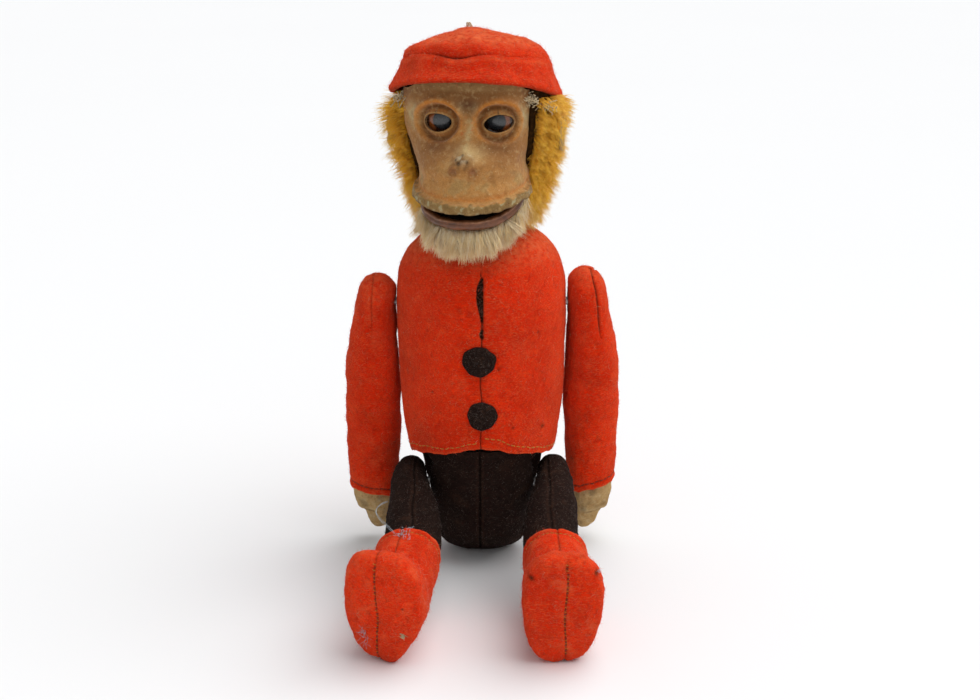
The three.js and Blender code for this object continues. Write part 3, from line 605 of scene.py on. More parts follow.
# ---------------- body
BODY = [(-2, 9, 4.6), (0, 13, 7.5), (2, 17.5, 10.6), (5, 21, 14.6), (12, 24, 22.4), (22, 25.6, 27.4),
        (34, 26.6, 30.3), (42, 28.2, 31.4), (50, 31, 32.2), (58, 34.6, 32.8), (68, 38, 33.6),
        (84, 40.2, 34.4), (110, 41.6, 35), (144, 42, 35), (157, 39, 32.8), (165, 34, 29),
        (171, 27.5, 23.5), (175, 20, 17.5), (177, 12, 11)]
SEAT_Y = 13.0
JACKET_TOP = 176.2
JACKET_THICK = 1.5
HEM_WIDE = 38
HEM_DEEP = 34


def body_point(turn, z, depth=0.0):
    """A point of the body's surface, moved in by a depth. The turn is 0 at the front and 90 at its left."""
    width, fore = table_at(BODY, z)
    lean = np.clip(table_at(BODY, z + 0.5)[0] - table_at(BODY, z - 0.5)[0], -4, 4)
    out = 1 / np.hypot(1, lean)
    middle = SEAT_Y * np.maximum(0, 1 - np.maximum(z, 0) / 60) ** 2
    sine, cosine = np.sin(np.radians(turn)), np.cos(np.radians(turn))
    return xyz((width - depth * out) * round_power(sine, 0.93),
               middle - (fore - depth * out) * round_power(cosine, 0.93),
               z + depth * out * lean)


def hem_height(turn):
    face = np.cos(np.radians(turn))
    x = HEM_WIDE * np.sin(np.radians(turn))
    hem = 61 + 9 * np.maximum(0, face) ** 2 + 4.5 * np.maximum(0, -face) ** 2
    front = ease(face, 0, 0.5)
    hem = hem - 1.7 * front * bump(np.abs(x) - 16, 9) + 0.5 * front * bump(x, 3)
    ragged = waves(xyz(x, HEM_DEEP * face, 0), 9, 3) * 0.3
    return hem + ragged + waves(xyz(x, HEM_DEEP * face, 9), 2.2, 4) * 0.12


TEAR_RIGHT = 0.55
TEAR = [(125.4, 0.1), (126.6, 0.9), (128.6, 1.3), (130.6, 0.6), (132.6, 0.35), (135, 0.7), (138.4, 1.3),
        (142, 2.2), (146, 2.8), (150.6, 2.7), (153.6, 1.7), (156.8, 0.1)]


def make_jacket():
    turns = np.unique(np.concatenate([np.linspace(-180, 180, 361)[:-1], np.linspace(-9, 9, 121)]))
    share = np.linspace(0, 1, 170)[:, None]
    turn = np.broadcast_to(turns[None], (170, len(turns)))
    low = hem_height(turns)[None]
    z = low + (JACKET_TOP - low) * share
    plain = body_point(turn, z)
    face = np.cos(np.radians(turn))
    seam = -0.35 + 0.3 * np.sin(z / 6.3) + 0.15 * np.sin(z / 2.1)
    off = np.where(face > 0, plain[..., 0] - seam, 99.0)
    gape = np.where((z > TEAR[0][0]) & (z < TEAR[-1][0]), table_at(TEAR, z)[0], 0.0)
    side_off = plain[..., 1] + 0.25 * np.sin(z / 5)
    groove = dips(off, (0.8, 0.42), (0.35, 2.6)) * (1 - 0.75 * ease(z, 157, 160))
    groove += np.where(np.abs(face) < 0.4, dips(side_off, (0.75, 0.7), (0.35, 3.2)), 0)
    torn = ease(gape, 0.3, 1.0)
    groove += 0.9 * torn * bump(off, 0.5) - 0.28 * torn * bump(np.abs(off) - 1.6, 1.3)
    above = z - low
    groove -= 0.55 * bump(above, 5.5)
    groove += 0.28 * bump(above - stitch_rise(plain[..., 0]), 0.8) * ease(face, 0.05, 0.3)
    pull = 0
    for x, height, wide, high in BUTTONS:
        reach = np.hypot((plain[..., 0] - x) / wide, (z - height) / high)
        pull = pull + np.where(face > 0, 0.55 * bump(reach, 0.75), 0)
    soft = roughness(plain, (34, 11, 0.38), (11, 12, 0.14), (3.6, 13, 0.07), (1.7, 14, 0.03))
    beside_arm = bump((plain[..., 1] - 3) / 26, 1) ** 0.3 * ease(z, 58, 68) * (1 - ease(z, 148, 156))
    depth = np.clip(groove + pull - soft, -1.4 + 1.5 * beside_arm, 1.38)
    outer = body_point(turn, z, depth)
    inner = body_point(turn, z, JACKET_THICK)
    slide = np.where(off < 0, TEAR_RIGHT - gape - seam, TEAR_RIGHT - seam) * ease(gape, 0, 0.4)
    slide = slide * np.clip(1 - np.abs(off) / 5.5, 0, 1) * ease(np.abs(off), 0.02, 0.3) * (face > 0)
    outer[..., 0] += slide
    seam_here = 1 - 0.8 * ease(z, 157, 160)
    # Painted shade: darker in the front seam's groove, and in the side seams' groove below.
    dirt_and_shade = seam_here * dips(off, (0.6, 0.24), (0.14, 1.0))
    dirt_and_shade = dirt_and_shade + np.where(np.abs(face) < 0.4, 0.7 * bump(side_off, 0.6), 0)
    # Painted shade: the floor of the tear is painted black, for the dark inside of the slit.
    dirt_and_shade = np.maximum(dirt_and_shade, ease(gape, 0.25, 0.7) * (np.abs(off) < 0.36))
    # Painted shadow under the chin and beard; the noise patches and spots after it are grime.
    shade_under_chin = bump(np.hypot(plain[..., 0] + 4, (z - 171) * 1.6), 16) * ease(face, 0, 0.4)
    dirt_and_shade = dirt_and_shade + 0.42 * shade_under_chin + 0.07 * patches(plain, 26, 15, 0.2, 1.5)
    for x, z0, size in ((8, 110.8, 0.8), (30, 78.5, 1.1), (15.2, 80.5, 0.7), (-24, 98, 0.6),
                        (27, 128, 0.6)):
        dirt_and_shade = dirt_and_shade + 0.75 * bump(np.hypot(plain[..., 0] - x, z - z0), size) * (face > 0)
    # Paler at the hem, beside the side seams and in noise patches from use; paler towards the top is a
    # painted highlight on the shoulders.
    wear_and_highlight = 0.5 * bump(above, 0.9) + 0.10 * patches(plain, 17, 16, 0.5, 1.6) + 0.75 * ease(z, 154, 170)
    wear_and_highlight = wear_and_highlight + 0.5 * bump(np.abs(side_off) - 1.6, 0.7) * (np.abs(face) < 0.4)
    paint = soil_and_light_paint(dirt_and_shade, wear_and_highlight)
    piece = add_sheet("jacket", outer, inner, red, "torso", paint, slot="red_felt",
                      stands_for=("jacket_left_front", "jacket_right_front", "jacket_back"))
    add_fuzz("jacket_fuzz", outer, 11000, 21, red_fibre, "torso", length=1.7, stand=0.45)
    add_fuzz("jacket_pale_fuzz", outer, 1500, 22, linen, "torso", length=2.4, stand=0.5, radius=0.03)
    return outer, turns, z, normals_of(outer)


def stitch_rise(x):
    """How far the hem's stitching runs above the hem, at a place across the front."""
    return 3.1 + np.where(x > 0, 2.6 * bump(x, 11), 0.4 * bump(x, 8)) + 0.5 * np.sin(x / 6.5)


BUTTONS = ((-1.2, 115.2, 8.2, 7.5), (0.2, 87.4, 7.3, 7.2))


def surface_line(outer, normal, row_values, columns, target):
    """Points and normals where each column of a grid passes a target value."""
    points, ups = [], []
    for k in columns:
        row = row_values[:, k]
        i = int(np.clip(np.searchsorted(row, target[k]) - 1, 0, len(row) - 2))
        t = (target[k] - row[i]) / (row[i + 1] - row[i])
        points.append(outer[i, k] * (1 - t) + outer[i + 1, k] * t)
        ups.append(normal[i, k])
    return np.array(points), np.array(ups)


def make_jacket_trim(outer, turns, z, normal):
    hem = hem_height(turns)
    x = HEM_WIDE * np.sin(np.radians(turns))
    target = hem + stitch_rise(x)
    left = [k for k, t in enumerate(turns) if -84 < t < -0.9]
    right = [k for k, t in enumerate(turns) if 0.6 < t < 84]
    back = [k for k, t in enumerate(turns) if t > 96] + [k for k, t in enumerate(turns) if t < -96]
    paths = []
    for columns in (left, right, back):
        line, up = surface_line(outer, normal, z, columns, target)
        paths.append(stitches(line, up, 1.9, 0.95, rise=0.3))
    add_tubes("hem_stitches", np.concatenate(paths), 0.24, ochre_thread, "torso", slot="linen_thread")
    random = np.random.default_rng(5)
    frays = []
    for k in range(26):
        side = random.choice([-1, 1])
        height = random.uniform(127, 156)
        wide = float(table_at(TEAR, np.array([height]))[0][0])
        start = body_point(np.array([0.0]), np.array([height]), 0.9)[0]
        start[0] = TEAR_RIGHT - wide / 2 + side * wide / 2
        swing = np.array([-side * random.uniform(0.3, 1.1) * wide, -random.uniform(-0.2, 0.9),
                          random.uniform(-2.5, 2.5)])
        t = np.linspace(0, 1, 6)[:, None]
        curl = np.sin(t * 5 + k) * random.uniform(0.1, 0.4) * np.array([1.0, 0.4, 0.6])
        frays.append(start + swing * t + curl)
    add_tubes("tear_threads", np.array(frays), 0.09, dark_thread, "torso", 4)


def make_buttons():
    for index, (x0, z0, wide, high) in enumerate(BUTTONS):
        turn = np.radians(np.linspace(0, 360, 97)[:-1])
        rings = [(0.0, 0.985), (0.5, 1.0), (1.1, 0.99), (1.45, 0.95), (1.62, 0.86)]
        rings += [(1.66 + 0.12 * k / 14, 0.82 * (1 - k / 14) + 0.02) for k in range(15)]
        rows = []
        for out, scale in rings:
            notch = 1 - 0.10 * bump(turn - math.radians(48), 0.22) * (index == 0)
            edge = notch * (1 + 0.03 * np.sin(3 * turn + index) + 0.018 * np.sin(8 * turn + 2 * index))
            x = x0 + wide * scale * edge * np.cos(turn)
            z = z0 + high * scale * edge * np.sin(turn)
            width, fore = table_at(BODY, z)
            front = -fore * np.sqrt(np.clip(1 - (x / width) ** 2, 0, 1)) ** 0.93
            rows.append(xyz(x, front - 0.15 - out, z))
        grid = np.array(rows)
        grid[..., 1] -= roughness(grid, (6, 31 + index, 0.14), (1.8, 33 + index, 0.05))
        lint_and_highlight = 0.5 * patches(grid, 2.4, 35 + index, 0.5, 1.4)
        # Painted highlight: a lighter spot above and to one side of the middle; the patches before it are
        # fluff.
        lint_and_highlight = lint_and_highlight + 0.35 * bump(np.hypot(grid[..., 0] - x0 - 1, grid[..., 2] - z0 - 2), 1.2)
        paint = xyz(0, lint_and_highlight, 0)
        name = ("button_upper", "button_lower")[index]
        add_loft(name + "_felt", grid, brown, "torso", paint, slot="button_felt", stands_for=(name,))
        add_fuzz(name + "_fuzz", grid[2:], 420, 41 + index, brown_fibre, "torso", length=1.3, stand=0.5,
                 radius=0.035)


def make_trousers():
    turns = np.unique(np.concatenate([np.linspace(-180, 180, 301)[:-1], np.linspace(-10, 10, 61),
                                      np.linspace(170, 179.9, 30), np.linspace(-179.9, -170, 30)]))
    heights = np.concatenate([np.linspace(-1.1, 4, 12), np.linspace(4.7, 67, 84)])
    turn, height = np.meshgrid(turns, heights)
    outer = body_point(turn, height, 0.4 + 1.7 * ease(height, 44, 56))
    outer[0, :, 2] = 0
    outer[..., 2] = np.maximum(outer[..., 2], 0)
    foot = outer[0]
    middle = foot.mean(0)
    flat = np.array([middle + (foot - middle) * k for k in (0.02, 0.3, 0.6, 0.82, 0.94, 0.985)])
    outer = np.concatenate([flat, outer])
    turn = np.concatenate([np.broadcast_to(turns, (6, len(turns))), turn])
    rise = outer[..., 2]
    off = outer[..., 0] + 1.0
    front = np.abs(outer[..., 1] - 8) > 6
    groove = dips(off, (0.95, 0.5), (0.45, 2.8)) * front * ease(rise, 0.2, 3)
    soft = roughness(outer, (26, 51, 0.35), (8, 52, 0.14), (2.6, 53, 0.06))
    lifted = ease(rise, 0.3, 2.5)
    outer = pushed(outer, (soft - groove) * lifted)
    reach = np.hypot(outer[..., 1] - HIP[1], outer[..., 2] - HIP[2])
    most = 26.3 + np.maximum(0, reach - 13.2) * 1.15
    beside_thigh = 33.9 - 1.7 * ease(reach, 8, 30) - table_at(THIGH, reach)[0]
    behind = np.maximum(0, outer[..., 1] - 1.6)
    most = np.minimum(most, beside_thigh + 3 * behind + 0.9 * np.maximum(0, outer[..., 2] - 58))
    outer[..., 0] = np.sign(outer[..., 0]) * np.minimum(np.abs(outer[..., 0]), most)
    inner = pushed(outer, np.full(rise.shape, -1.4))
    inner[..., 2] = np.maximum(inner[..., 2], 0.6)
    # Painted shade: darker in the seam's groove.
    dirt_and_shade = 0.55 * bump(off, 0.35) * front
    wear_and_highlight = (0.5 * bump(rise - 1.0, 1.2) + 0.35 * patches(outer, 13, 54, 0.6, 1.7)
            + 0.3 * bump(np.abs(off) - 1.4, 0.6) * front)
    paint = soil_and_light_paint(dirt_and_shade, wear_and_highlight)
    piece = add_sheet("trousers", outer, inner, brown, "torso", paint, slot="brown_felt",
                      stands_for=("trousers_left", "trousers_right"))
    add_fuzz("trousers_fuzz", outer[7:], 5200, 55, brown_fibre, "torso", length=1.5, stand=0.4,
             radius=0.035)


# ---------------- head
def head_place(points):
    """From the head's own frame to the toy's."""
    return rotated(points, "z", HEAD_YAW) + [NECK_X, 0, 0]


MASK = [(190, 24, 48.5, 24), (193, 27, 50, 22), (198, 27.6, 49, 20), (204, 27, 47, 18),
        (208.5, 28, 48.6, 17), (213, 29.3, 46, 16), (222, 31.8, 38.5, 15), (230, 33.4, 35, 15),
        (238, 34, 37, 15), (246, 33.6, 36, 16)]
MASK_THICK = 1.7
EYES = ((-1, 6.5, 4.5, 2.0, 0.0), (1, 6.8, 4.25, 1.75, -0.08))


def eye_gauge(x, z, side, half_wide, half_high, power, tilt):
    """Below 1 inside the eye's opening, and 1 on its edge."""
    across, up = x - side * EYE_X, z - EYE_Z
    up = up + tilt * across
    return (np.abs(across / half_wide) ** power + np.abs(up / half_high) ** power) ** (1 / power)


def mask_point(share, z):
    width, front, edge = table_at(MASK, z)
    turn = share * math.pi / 2
    x = width * np.sin(turn)
    x = x - 4.6 * ease(x, 19, 34) * ease(z, 203, 212) + 1.8 * ease(-x, 19, 30) * bump(z - 207, 10)
    return xyz(x, -(edge + (front - edge) * np.cos(turn)), z)


def face_relief(x, z, lip_low):
    """How far the face stands out of its plain form."""
    out = np.zeros_like(x)
    for side, *shape in EYES:
        gauge = eye_gauge(x, z, side, *shape)
        ring = np.hypot(x - side * EYE_X, (z - EYE_Z - 0.2) / 0.86)
        above = ease(z, EYE_Z - 4, EYE_Z + 6)
        out += 1.3 * bump(ring, 6.4)
        out -= 2.0 * bump(ring - 8.7, 1.7)
        out += (0.7 + 0.9 * above) * bump(ring - 11.4, 1.8)
        out += 0.5 * bump(gauge - 1.12, 0.09) - 0.25 * bump(gauge - 1.3, 0.1)
        out -= 0.9 * bump(np.hypot(x - side * 18.5, (z - 217.5) * 1.1), 6.0)
    out -= 1.3 * bump(np.hypot(x * 0.9, (z - 237.0)), 5.0)
    bridge = ease(z, 211, 217) * (1 - ease(z, 228, 237))
    out += 1.5 * bump(x + 0.4, 3.2) * bridge
    out += 2.4 * bump(np.hypot(x / 5.2, (z - 212.8) / 4.0), 1)
    out -= 0.8 * bump(np.hypot(x / 9, (z - 208.6) / 1.6), 1)
    for side in (-1, 1):
        spot = np.hypot(x - side * 4.6 + 0.3, z - 208.8)
        out += 0.4 * bump(spot - 1.9, 0.7) - 0.5 * bump(spot, 1.1)
    chips = ease(waves(xyz(x, 0, z), 2.2, 64), 0.3, 0.8)
    out -= 0.35 * chips * bump(np.hypot((x + 0.8) / 4, (z - 212.6) / 2.6), 1)
    up = z - lip_low
    out -= 0.9 * bump(up - 5.6, 1.7)
    out += 1.5 * ease(4.3 - up, 0, 0.9) - 0.25 * chips * (1 - ease(up, 2.4, 3.4))
    return out


def painter(shape, *base):
    """An array of colours, and a function that lays another colour over it by an amount."""
    colour = np.broadcast_to(np.array(tint(*base)[:3]), shape).copy()

    def lay(red, green, blue, amount):
        amount = np.clip(amount, 0, 1)[..., None]
        colour[...] = colour * (1 - amount) + np.array(tint(red, green, blue)[:3]) * amount
    return colour, lay


def face_paint(x, z, lip_low, points):
    patch = waves(points, 12, 71)
    spot = waves(points, 3.4, 72)
    fine = waves(points, 1.5, 73)
    colour, lay = painter((*x.shape, 3), 170, 118, 62)
    lay(190, 142, 82, 0.5 * ease(patch, 0, 1.4))
    lay(140, 90, 46, 0.7 * ease(z, 232, 240) + 0.3 * ease(spot, 0.4, 1.5) * ease(z, 216, 224))
    lay(142, 96, 54, 0.75 * bump(np.hypot((np.abs(x) - 20) / 1.4, z - 216.5), 8))
    lay(82, 50, 28, 0.9 * bump(np.hypot(x / 1.2, (z - 238.2) / 0.8), 6.6))
    lay(112, 74, 38, 0.7 * ease(z, 238.5, 243.5))
    lay(150, 118, 74, 0.55 * ease(z, 243.2, 245.4))
    for side, *shape in EYES:
        gauge = eye_gauge(x, z, side, *shape)
        ring = np.hypot(x - side * EYE_X, (z - EYE_Z - 0.2) / 0.86)
        above = ease(z, EYE_Z - 7, EYE_Z + 5)
        outside = oval(x, z, side * 26.0, 232.0, 4.6, 5.2)
        inside = oval(x, z, side * 4.0, 234.0, 2.0, 4.2)
        lay(190, 176, 130, 0.95 * bump(outside, 1) * (0.8 + 0.35 * np.clip(spot, -1, 1)))
        lay(172, 150, 108, 0.5 * bump(inside, 1))
        lay(200, 122, 40, (0.4 + 0.35 * above) * bump(ring - 10.8, 1.6))
        lay(98, 56, 20, 0.85 * bump(ring - 8.2, 1.7))
        lay(160, 100, 44, 0.6 * bump(gauge - 1.26, 0.1))
        lay(164, 122, 70, 0.7 * bump(gauge - 1.12, 0.06))
        under = oval(x, z, side * 13, 219.4, 9.0, 3.0)
        lay(112, 70, 38, 0.8 * bump(under, 1))
        lay(30, 18, 10, 1.0 - ease(gauge, 0.97, 1.04))
        notch = np.hypot((x - side * EYE_X + 0.3) / 0.4, (z - EYE_Z - 5.3) / 0.8)
        lay(52, 34, 22, 0.8 * bump(notch, 1))
    bridge = ease(z, 214, 218) * (1 - ease(z, 229, 236))
    strip = bump(x - 0.6 + 0.7 * np.sin(z / 2.3), 1.7)
    lay(176, 156, 110, 0.7 * strip * bridge * np.clip(0.8 + 0.5 * spot, 0, 1))
    streak = bump(x - 2.6, 1.2) + bump(x + 1.8, 1.2)
    lay(192, 84, 36, 0.5 * streak * bridge * ease(fine, 0.3, 1.2) * ease(z, 220, 225))
    lay(202, 174, 120, 0.7 * bump(oval(x, z, 2.0, 216.5, 6.5, 3.4), 1))
    chip = np.hypot((x + 0.2) / 3.2, (z - 213.8) / 1.7)
    lay(192, 186, 160, 0.9 * bump(chip, 1) * ease(spot, -0.6, 0.3))
    around = np.hypot((x + 0.8) / 4.8, (z - 211.9) / 3.0)
    lay(112, 82, 52, 0.75 * bump(around, 1) * ease(-spot, -0.3, 0.5))
    for chip_x, chip_z, size in ((-2.2, 211.9, 1.1), (-0.6, 214.9, 0.6), (-3.6, 213.4, 0.6),
                                 (1.4, 212.4, 0.6)):
        lay(56, 42, 28, 0.9 * bump(np.hypot(x - chip_x, z - chip_z), size))
    for side in (-1, 1):
        nose = np.hypot(x - side * 4.8 + 0.6, (z - 208.8) / 0.9)
        lay(122, 72, 44, 0.75 * bump(nose - 1.2, 1.2))
        lay(158, 112, 92, 0.5 * bump(nose, 0.8))
    muzzle = 1 - ease(z, 204, 212)
    lay(196, 142, 80, 0.5 * muzzle)
    lay(158, 132, 82, 0.5 * muzzle * ease(patch + spot * 0.5, 0.3, 1.4))
    up = z - lip_low
    lay(206, 128, 58, 0.55 * bump(up - 5.8, 1.5))
    lay(190, 146, 88, 0.6 * bump(up - 4.4, 0.8))
    edge = 1 - ease(up + 0.5 * spot, 3.0, 4.0)
    lay(138, 112, 66, 0.9 * edge)
    lay(176, 168, 130, 0.7 * edge * ease(spot + 0.4 * fine, 0.5, 1.0))
    lay(104, 76, 42, 0.35 * edge * ease(-spot - 0.3 * fine, 0.4, 1.1))
    lay(74, 50, 28, 0.6 * (1 - ease(up, 0.1, 0.8)))
    return np.clip(colour, 0, 1)


def make_mask():
    rows, columns = 250, 261
    share = np.broadcast_to(np.linspace(-1, 1, columns), (rows, columns)).copy()
    lip_low = MOUTH_Z + MOUTH_RISE * share ** 2
    up = np.linspace(0, 1, rows)[:, None]
    ragged = waves(mask_point(share, lip_low), 5, 61)[:1] * 0.25
    low = lip_low + ragged
    z = low + (250.0 - 6.0 * ease(np.abs(share), 0.3, 0.75) - low) * up
    width = table_at(MASK, z)[0]
    x = width * np.sin(share * math.pi / 2)
    kept = np.ones((rows - 1, columns - 1), bool)
    for side, *shape in EYES:
        gauge = eye_gauge(x, z, side, *shape)
        inside = gauge < 1
        cell = (inside[:-1, :-1].astype(int) + inside[1:, :-1] + inside[:-1, 1:] + inside[1:, 1:]) >= 2
        corner = np.zeros((rows, columns), int)
        for i in (0, 1):
            for j in (0, 1):
                corner[i:rows - 1 + i, j:columns - 1 + j] += cell
        rim = (corner > 0) & (corner < 4)
        scale = np.where(rim, 1 / np.maximum(gauge, 0.2), 1.0)
        x = np.where(rim, side * EYE_X + (x - side * EYE_X) * scale, x)
        z = np.where(rim, EYE_Z + (z - EYE_Z) * scale, z)
        kept &= ~cell
    width = table_at(MASK, z)[0]
    share = np.where(np.abs(x) < width * 0.9999, np.arcsin(np.clip(x / width, -1, 1)) * 2 / math.pi, share)
    plain = mask_point(share, z)
    relief = face_relief(x, z, low) * ease(1 - np.abs(share), 0.0, 0.12)
    relief = relief + waves(plain, 9, 62) * 0.22 + waves(plain, 3, 63) * 0.07
    outer = pushed(plain, relief, wrap=False)
    inner = pushed(plain, relief - MASK_THICK, wrap=False)
    paint = face_paint(x, z, low, plain)
    add_sheet("face", head_place(outer), head_place(inner), mask, "head", paint, kept, wrap=False,
              slot="mask_felt", stands_for=("face_mask",), crease=60)


def make_eyes():
    for side, offset in ((-1, 1.25), (1, -1.9)):
        polar = np.linspace(0.02, math.pi - 0.02, 60)[:, None]
        around = circle(96)[None]
        y = -np.cos(polar) + 0 * around
        x = np.sin(polar) * np.cos(around)
        z = np.sin(polar) * np.sin(around)
        grid = xyz(side * EYE_X + 8 * x, EYE_Y + 2.9 * y, EYE_Z + 7 * z)
        across, up = grid[..., 0] - side * EYE_X - offset, grid[..., 2] - EYE_Z - 0.1
        disc = np.hypot(across / 1.08, up)
        colour, lay = painter(grid.shape, 58, 30, 14)
        lay(150, 78, 26, 0.9 * ease(side * across, 2.4, 4.4) * (1 - ease(np.abs(across), 5.8, 6.8)))
        lay(18, 14, 12, 1 - ease(disc, 4.0, 4.5))
        lay(40, 43, 46, 1 - ease(disc, 3.4, 4.0))
        # Painted highlight: a lighter spot on the pupil, up and to one side.
        lay(52, 56, 60, 0.6 * bump(np.hypot(across - 0.4, up - 0.9), 2.2))
        name = "left" if side > 0 else "right"
        add_loft(f"eyeball_{name}", head_place(grid), glass, "head", colour, slot="eye_glass",
                 stands_for=(f"eye_{name}",), crease=0)


SKULL = [(178, 20, 20), (181, 21, 21), (190, 25, 25), (203, 29, 30), (215, 32, 33), (230, 34, 35),
         (245, 34, 35), (253, 29, 30)]


def skull_grid(turns, heights, out):
    turn, z = np.meshgrid(turns, heights)
    width, fore = table_at(SKULL, z)
    return xyz((width + out) * np.sin(np.radians(turn)), -(fore + out) * np.cos(np.radians(turn)), z)


HAIRS_IN_PIECE = 7600


def add_hair(name, root, way, length, material, body, seed, radius=0.12, fall=0.35, curl=0.5, white=0.0,
             lock_size=2.4, gather=0.5, slot="gold_mohair"):
    """Pile hair in locks. It is split into several pieces, so that none is too large."""
    random = np.random.default_rng(seed)
    count = len(root)
    cell = np.floor(root / lock_size + random.uniform(-0.2, 0.2, root.shape)).astype(int)
    _, lock = np.unique(cell, axis=0, return_inverse=True)
    lock = lock.ravel()
    locks = lock.max() + 1
    lean = random.normal(size=(locks, 3)) * 0.28
    shade = random.random(locks)
    centre = np.stack([np.bincount(lock, root[:, a], locks) for a in range(3)], 1)
    centre /= np.bincount(lock, minlength=locks)[:, None]
    way = way + lean[lock] + random.normal(size=way.shape) * 0.13
    way = unit(way)
    size = (length * random.uniform(0.6, 1.15, count) * (0.8 + 0.35 * random.random(locks)[lock]))[:, None]
    closer = (centre[lock] - root) * gather
    side = np.cross(way, random.normal(size=way.shape))
    side = unit(side)
    phase = random.uniform(0, 6.28, (count, 1, 1)) * 0.25
    phase = phase + random.uniform(0, 6.28, locks)[lock][:, None, None]
    s = np.linspace(0, 1, 5)[None, :, None]
    paths = root[:, None] + way[:, None] * size[:, None] * s + closer[:, None] * s ** 1.5
    paths = paths + side[:, None] * curl * (np.sin(s * 5 + phase) - np.sin(phase)) * s ** 0.6
    paths = paths + DOWN * fall * size[:, None] * s ** 2
    radii = radius * random.uniform(0.75, 1.25, (count, 1)) * np.array([1.0, 0.95, 0.8, 0.55, 0.15])
    whiteness = np.broadcast_to(white, (count,))
    tone = np.clip(0.7 * shade[lock] + 0.3 * random.random(count), 0, 1)
    paint = np.stack([np.broadcast_to(tone[:, None], (count, 5)), np.broadcast_to(s[0, :, 0], (count, 5)),
                      np.broadcast_to(whiteness[:, None], (count, 5))], 2)
    for k, start in enumerate(range(0, count, HAIRS_IN_PIECE)):
        cut = slice(start, start + HAIRS_IN_PIECE)
        add_tubes(f"{name}_{k + 1}", paths[cut], radii[cut], material, body, 3, paint[cut], slot=slot)


def make_pelt():
    turns = np.linspace(69, 291, 160)
    heights = np.linspace(180.5, 237, 60)
    outer = skull_grid(turns, heights, 2.4)
    outer = pushed(outer, waves(outer, 8, 81) * 0.4, wrap=False)
    inner = skull_grid(turns, heights, 0.5)
    paint = np.broadcast_to([0.2, 0.0, 0.0], outer.shape)
    add_sheet("pelt_backing", head_place(outer), head_place(inner), backing, "head", paint, wrap=False,
              slot="gold_mohair", stands_for=("head_pelt",))
    front_weight = 1 + 1.6 * ease(np.abs(np.abs(180 - turns) - 90), 10, 22) + 0 * outer[..., 0]
    count = 34000
    root, normal = scatter(outer, count, 82, front_weight, wrap=False)
    flat = np.hypot(root[:, 0], root[:, 1])
    front = np.clip(-root[:, 1] / flat, -1, 1)
    low = 1 - ease(root[:, 2], 182, 205)
    at_face = ease(front, 0.1, 0.36)
    way = normal + DOWN * (0.18 + 0.32 * low)[:, None]
    way = way + np.array([0, -1.0, 0]) * (0.9 * at_face)[:, None]
    way = unit(way)
    high = ease(root[:, 2], 212, 228)
    length = 9.2 + 0.8 * high + (root[:, 0] < 0) * (1.6 + 3.0 * ease(root[:, 2], 204, 218)) - 1.6 * at_face
    near_ear = bump(np.hypot(root[:, 1] - 1, root[:, 2] - 222), 9) * (np.abs(root[:, 0]) > 20)
    length = length * (1 - 0.35 * near_ear) * (1 - 0.25 * ease(root[:, 2], 232, 237))
    white = 0.35 * ease(waves(root, 15, 83) + 0.9 * (1 - ease(root[:, 2], 184, 197)), 1.0, 1.8)
    white = white * ease(front, -0.6, 0.1) * (1 - 0.7 * ease(root[:, 2], 194, 208))
    random = np.random.default_rng(87)
    more = 4600
    side = np.where(random.random(more) < 0.74, 1.0, -1.0)
    turn = np.radians(np.where(side > 0, random.uniform(55, 72, more), random.uniform(66, 73, more))) * side
    rise = random.uniform(187, 240, more)
    turn = np.where(rise > 233, np.radians(random.uniform(56, 88, more)) * side, turn)
    wide, fore = table_at(SKULL, rise)
    edge = xyz((wide + 1.6) * np.sin(turn), -(fore + 1.6) * np.cos(turn), rise)
    away = outward(edge) + [0, -0.1, -0.3]
    root = np.concatenate([root, edge])
    way = np.concatenate([way, unit(away)])
    length = np.concatenate([length, random.uniform(5.0, 7.4, more)])
    white = np.concatenate([white, 0 * rise])
    turned = rotated(way, "z", HEAD_YAW)
    add_hair("gold_pile", head_place(root), turned, length, gold, "head", 84, white=white, radius=0.15,
             fall=0.12, curl=0.7, lock_size=2.3, gather=0.85)
    make_temple_strips()


def make_temple_strips():
    """A dark strip between the mask and the pile: painted shade for the shadowed gap there."""
    for name, side, first in (("left", 1, 50), ("right", -1, 60)):
        turns = np.linspace(first, 84, 20) * side
        heights = np.linspace(206, 247, 60)
        outer = skull_grid(turns, heights, 1.9 + 0.4 * np.sin(np.linspace(0, math.pi, 20))[None])
        outer = pushed(outer, waves(outer, 4, 85) * 0.25, wrap=False)
        inner = skull_grid(turns, heights, 0.8)
        # Painted shade: the strip is darkened almost to black, less in noise patches.
        shade = 0.35 * patches(outer, 3, 86, 0.2, 1.2)
        add_sheet("temple_strip_" + name, head_place(outer), head_place(inner), backing, "head",
                  xyz(0.9 - shade, 0, 0), wrap=False, slot="gold_mohair")


def make_ears():
    for name, side in (("ear_left", 1), ("ear_right", -1)):
        turn = np.radians(np.linspace(0, 360, 81)[:-1])
        rows = []
        for out, scale in ((0.0, 0.05), (0.15, 0.5), (0.3, 0.8), (0.2, 0.96), (0.7, 1.0), (1.5, 0.99),
                           (1.9, 0.94), (1.6, 0.75), (1.1, 0.5), (0.9, 0.25), (0.9, 0.04)):
            x = side * (41 + out)
            rows.append(xyz(x, 1 + 9 * scale * np.cos(turn), 222 + 10.5 * scale * np.sin(turn)))
        grid = np.array(rows)
        bow = -2.4 if side > 0 else 1.0 + 1.8 * ease(grid[..., 1], -6, 10)
        grid[..., 0] += side * (waves(grid, 9, 91) * 0.35 + bow)
        grid = head_place(grid)
        edge = ease(np.abs(np.arange(len(rows)) - 5.0), 2, 0)[:, None] + 0 * grid[..., 0]
        add_loft(name + "_felt", grid, beige, "head", xyz(0.1, 0.4 * edge, 0),
                 slot="beige_felt", stands_for=(name,))


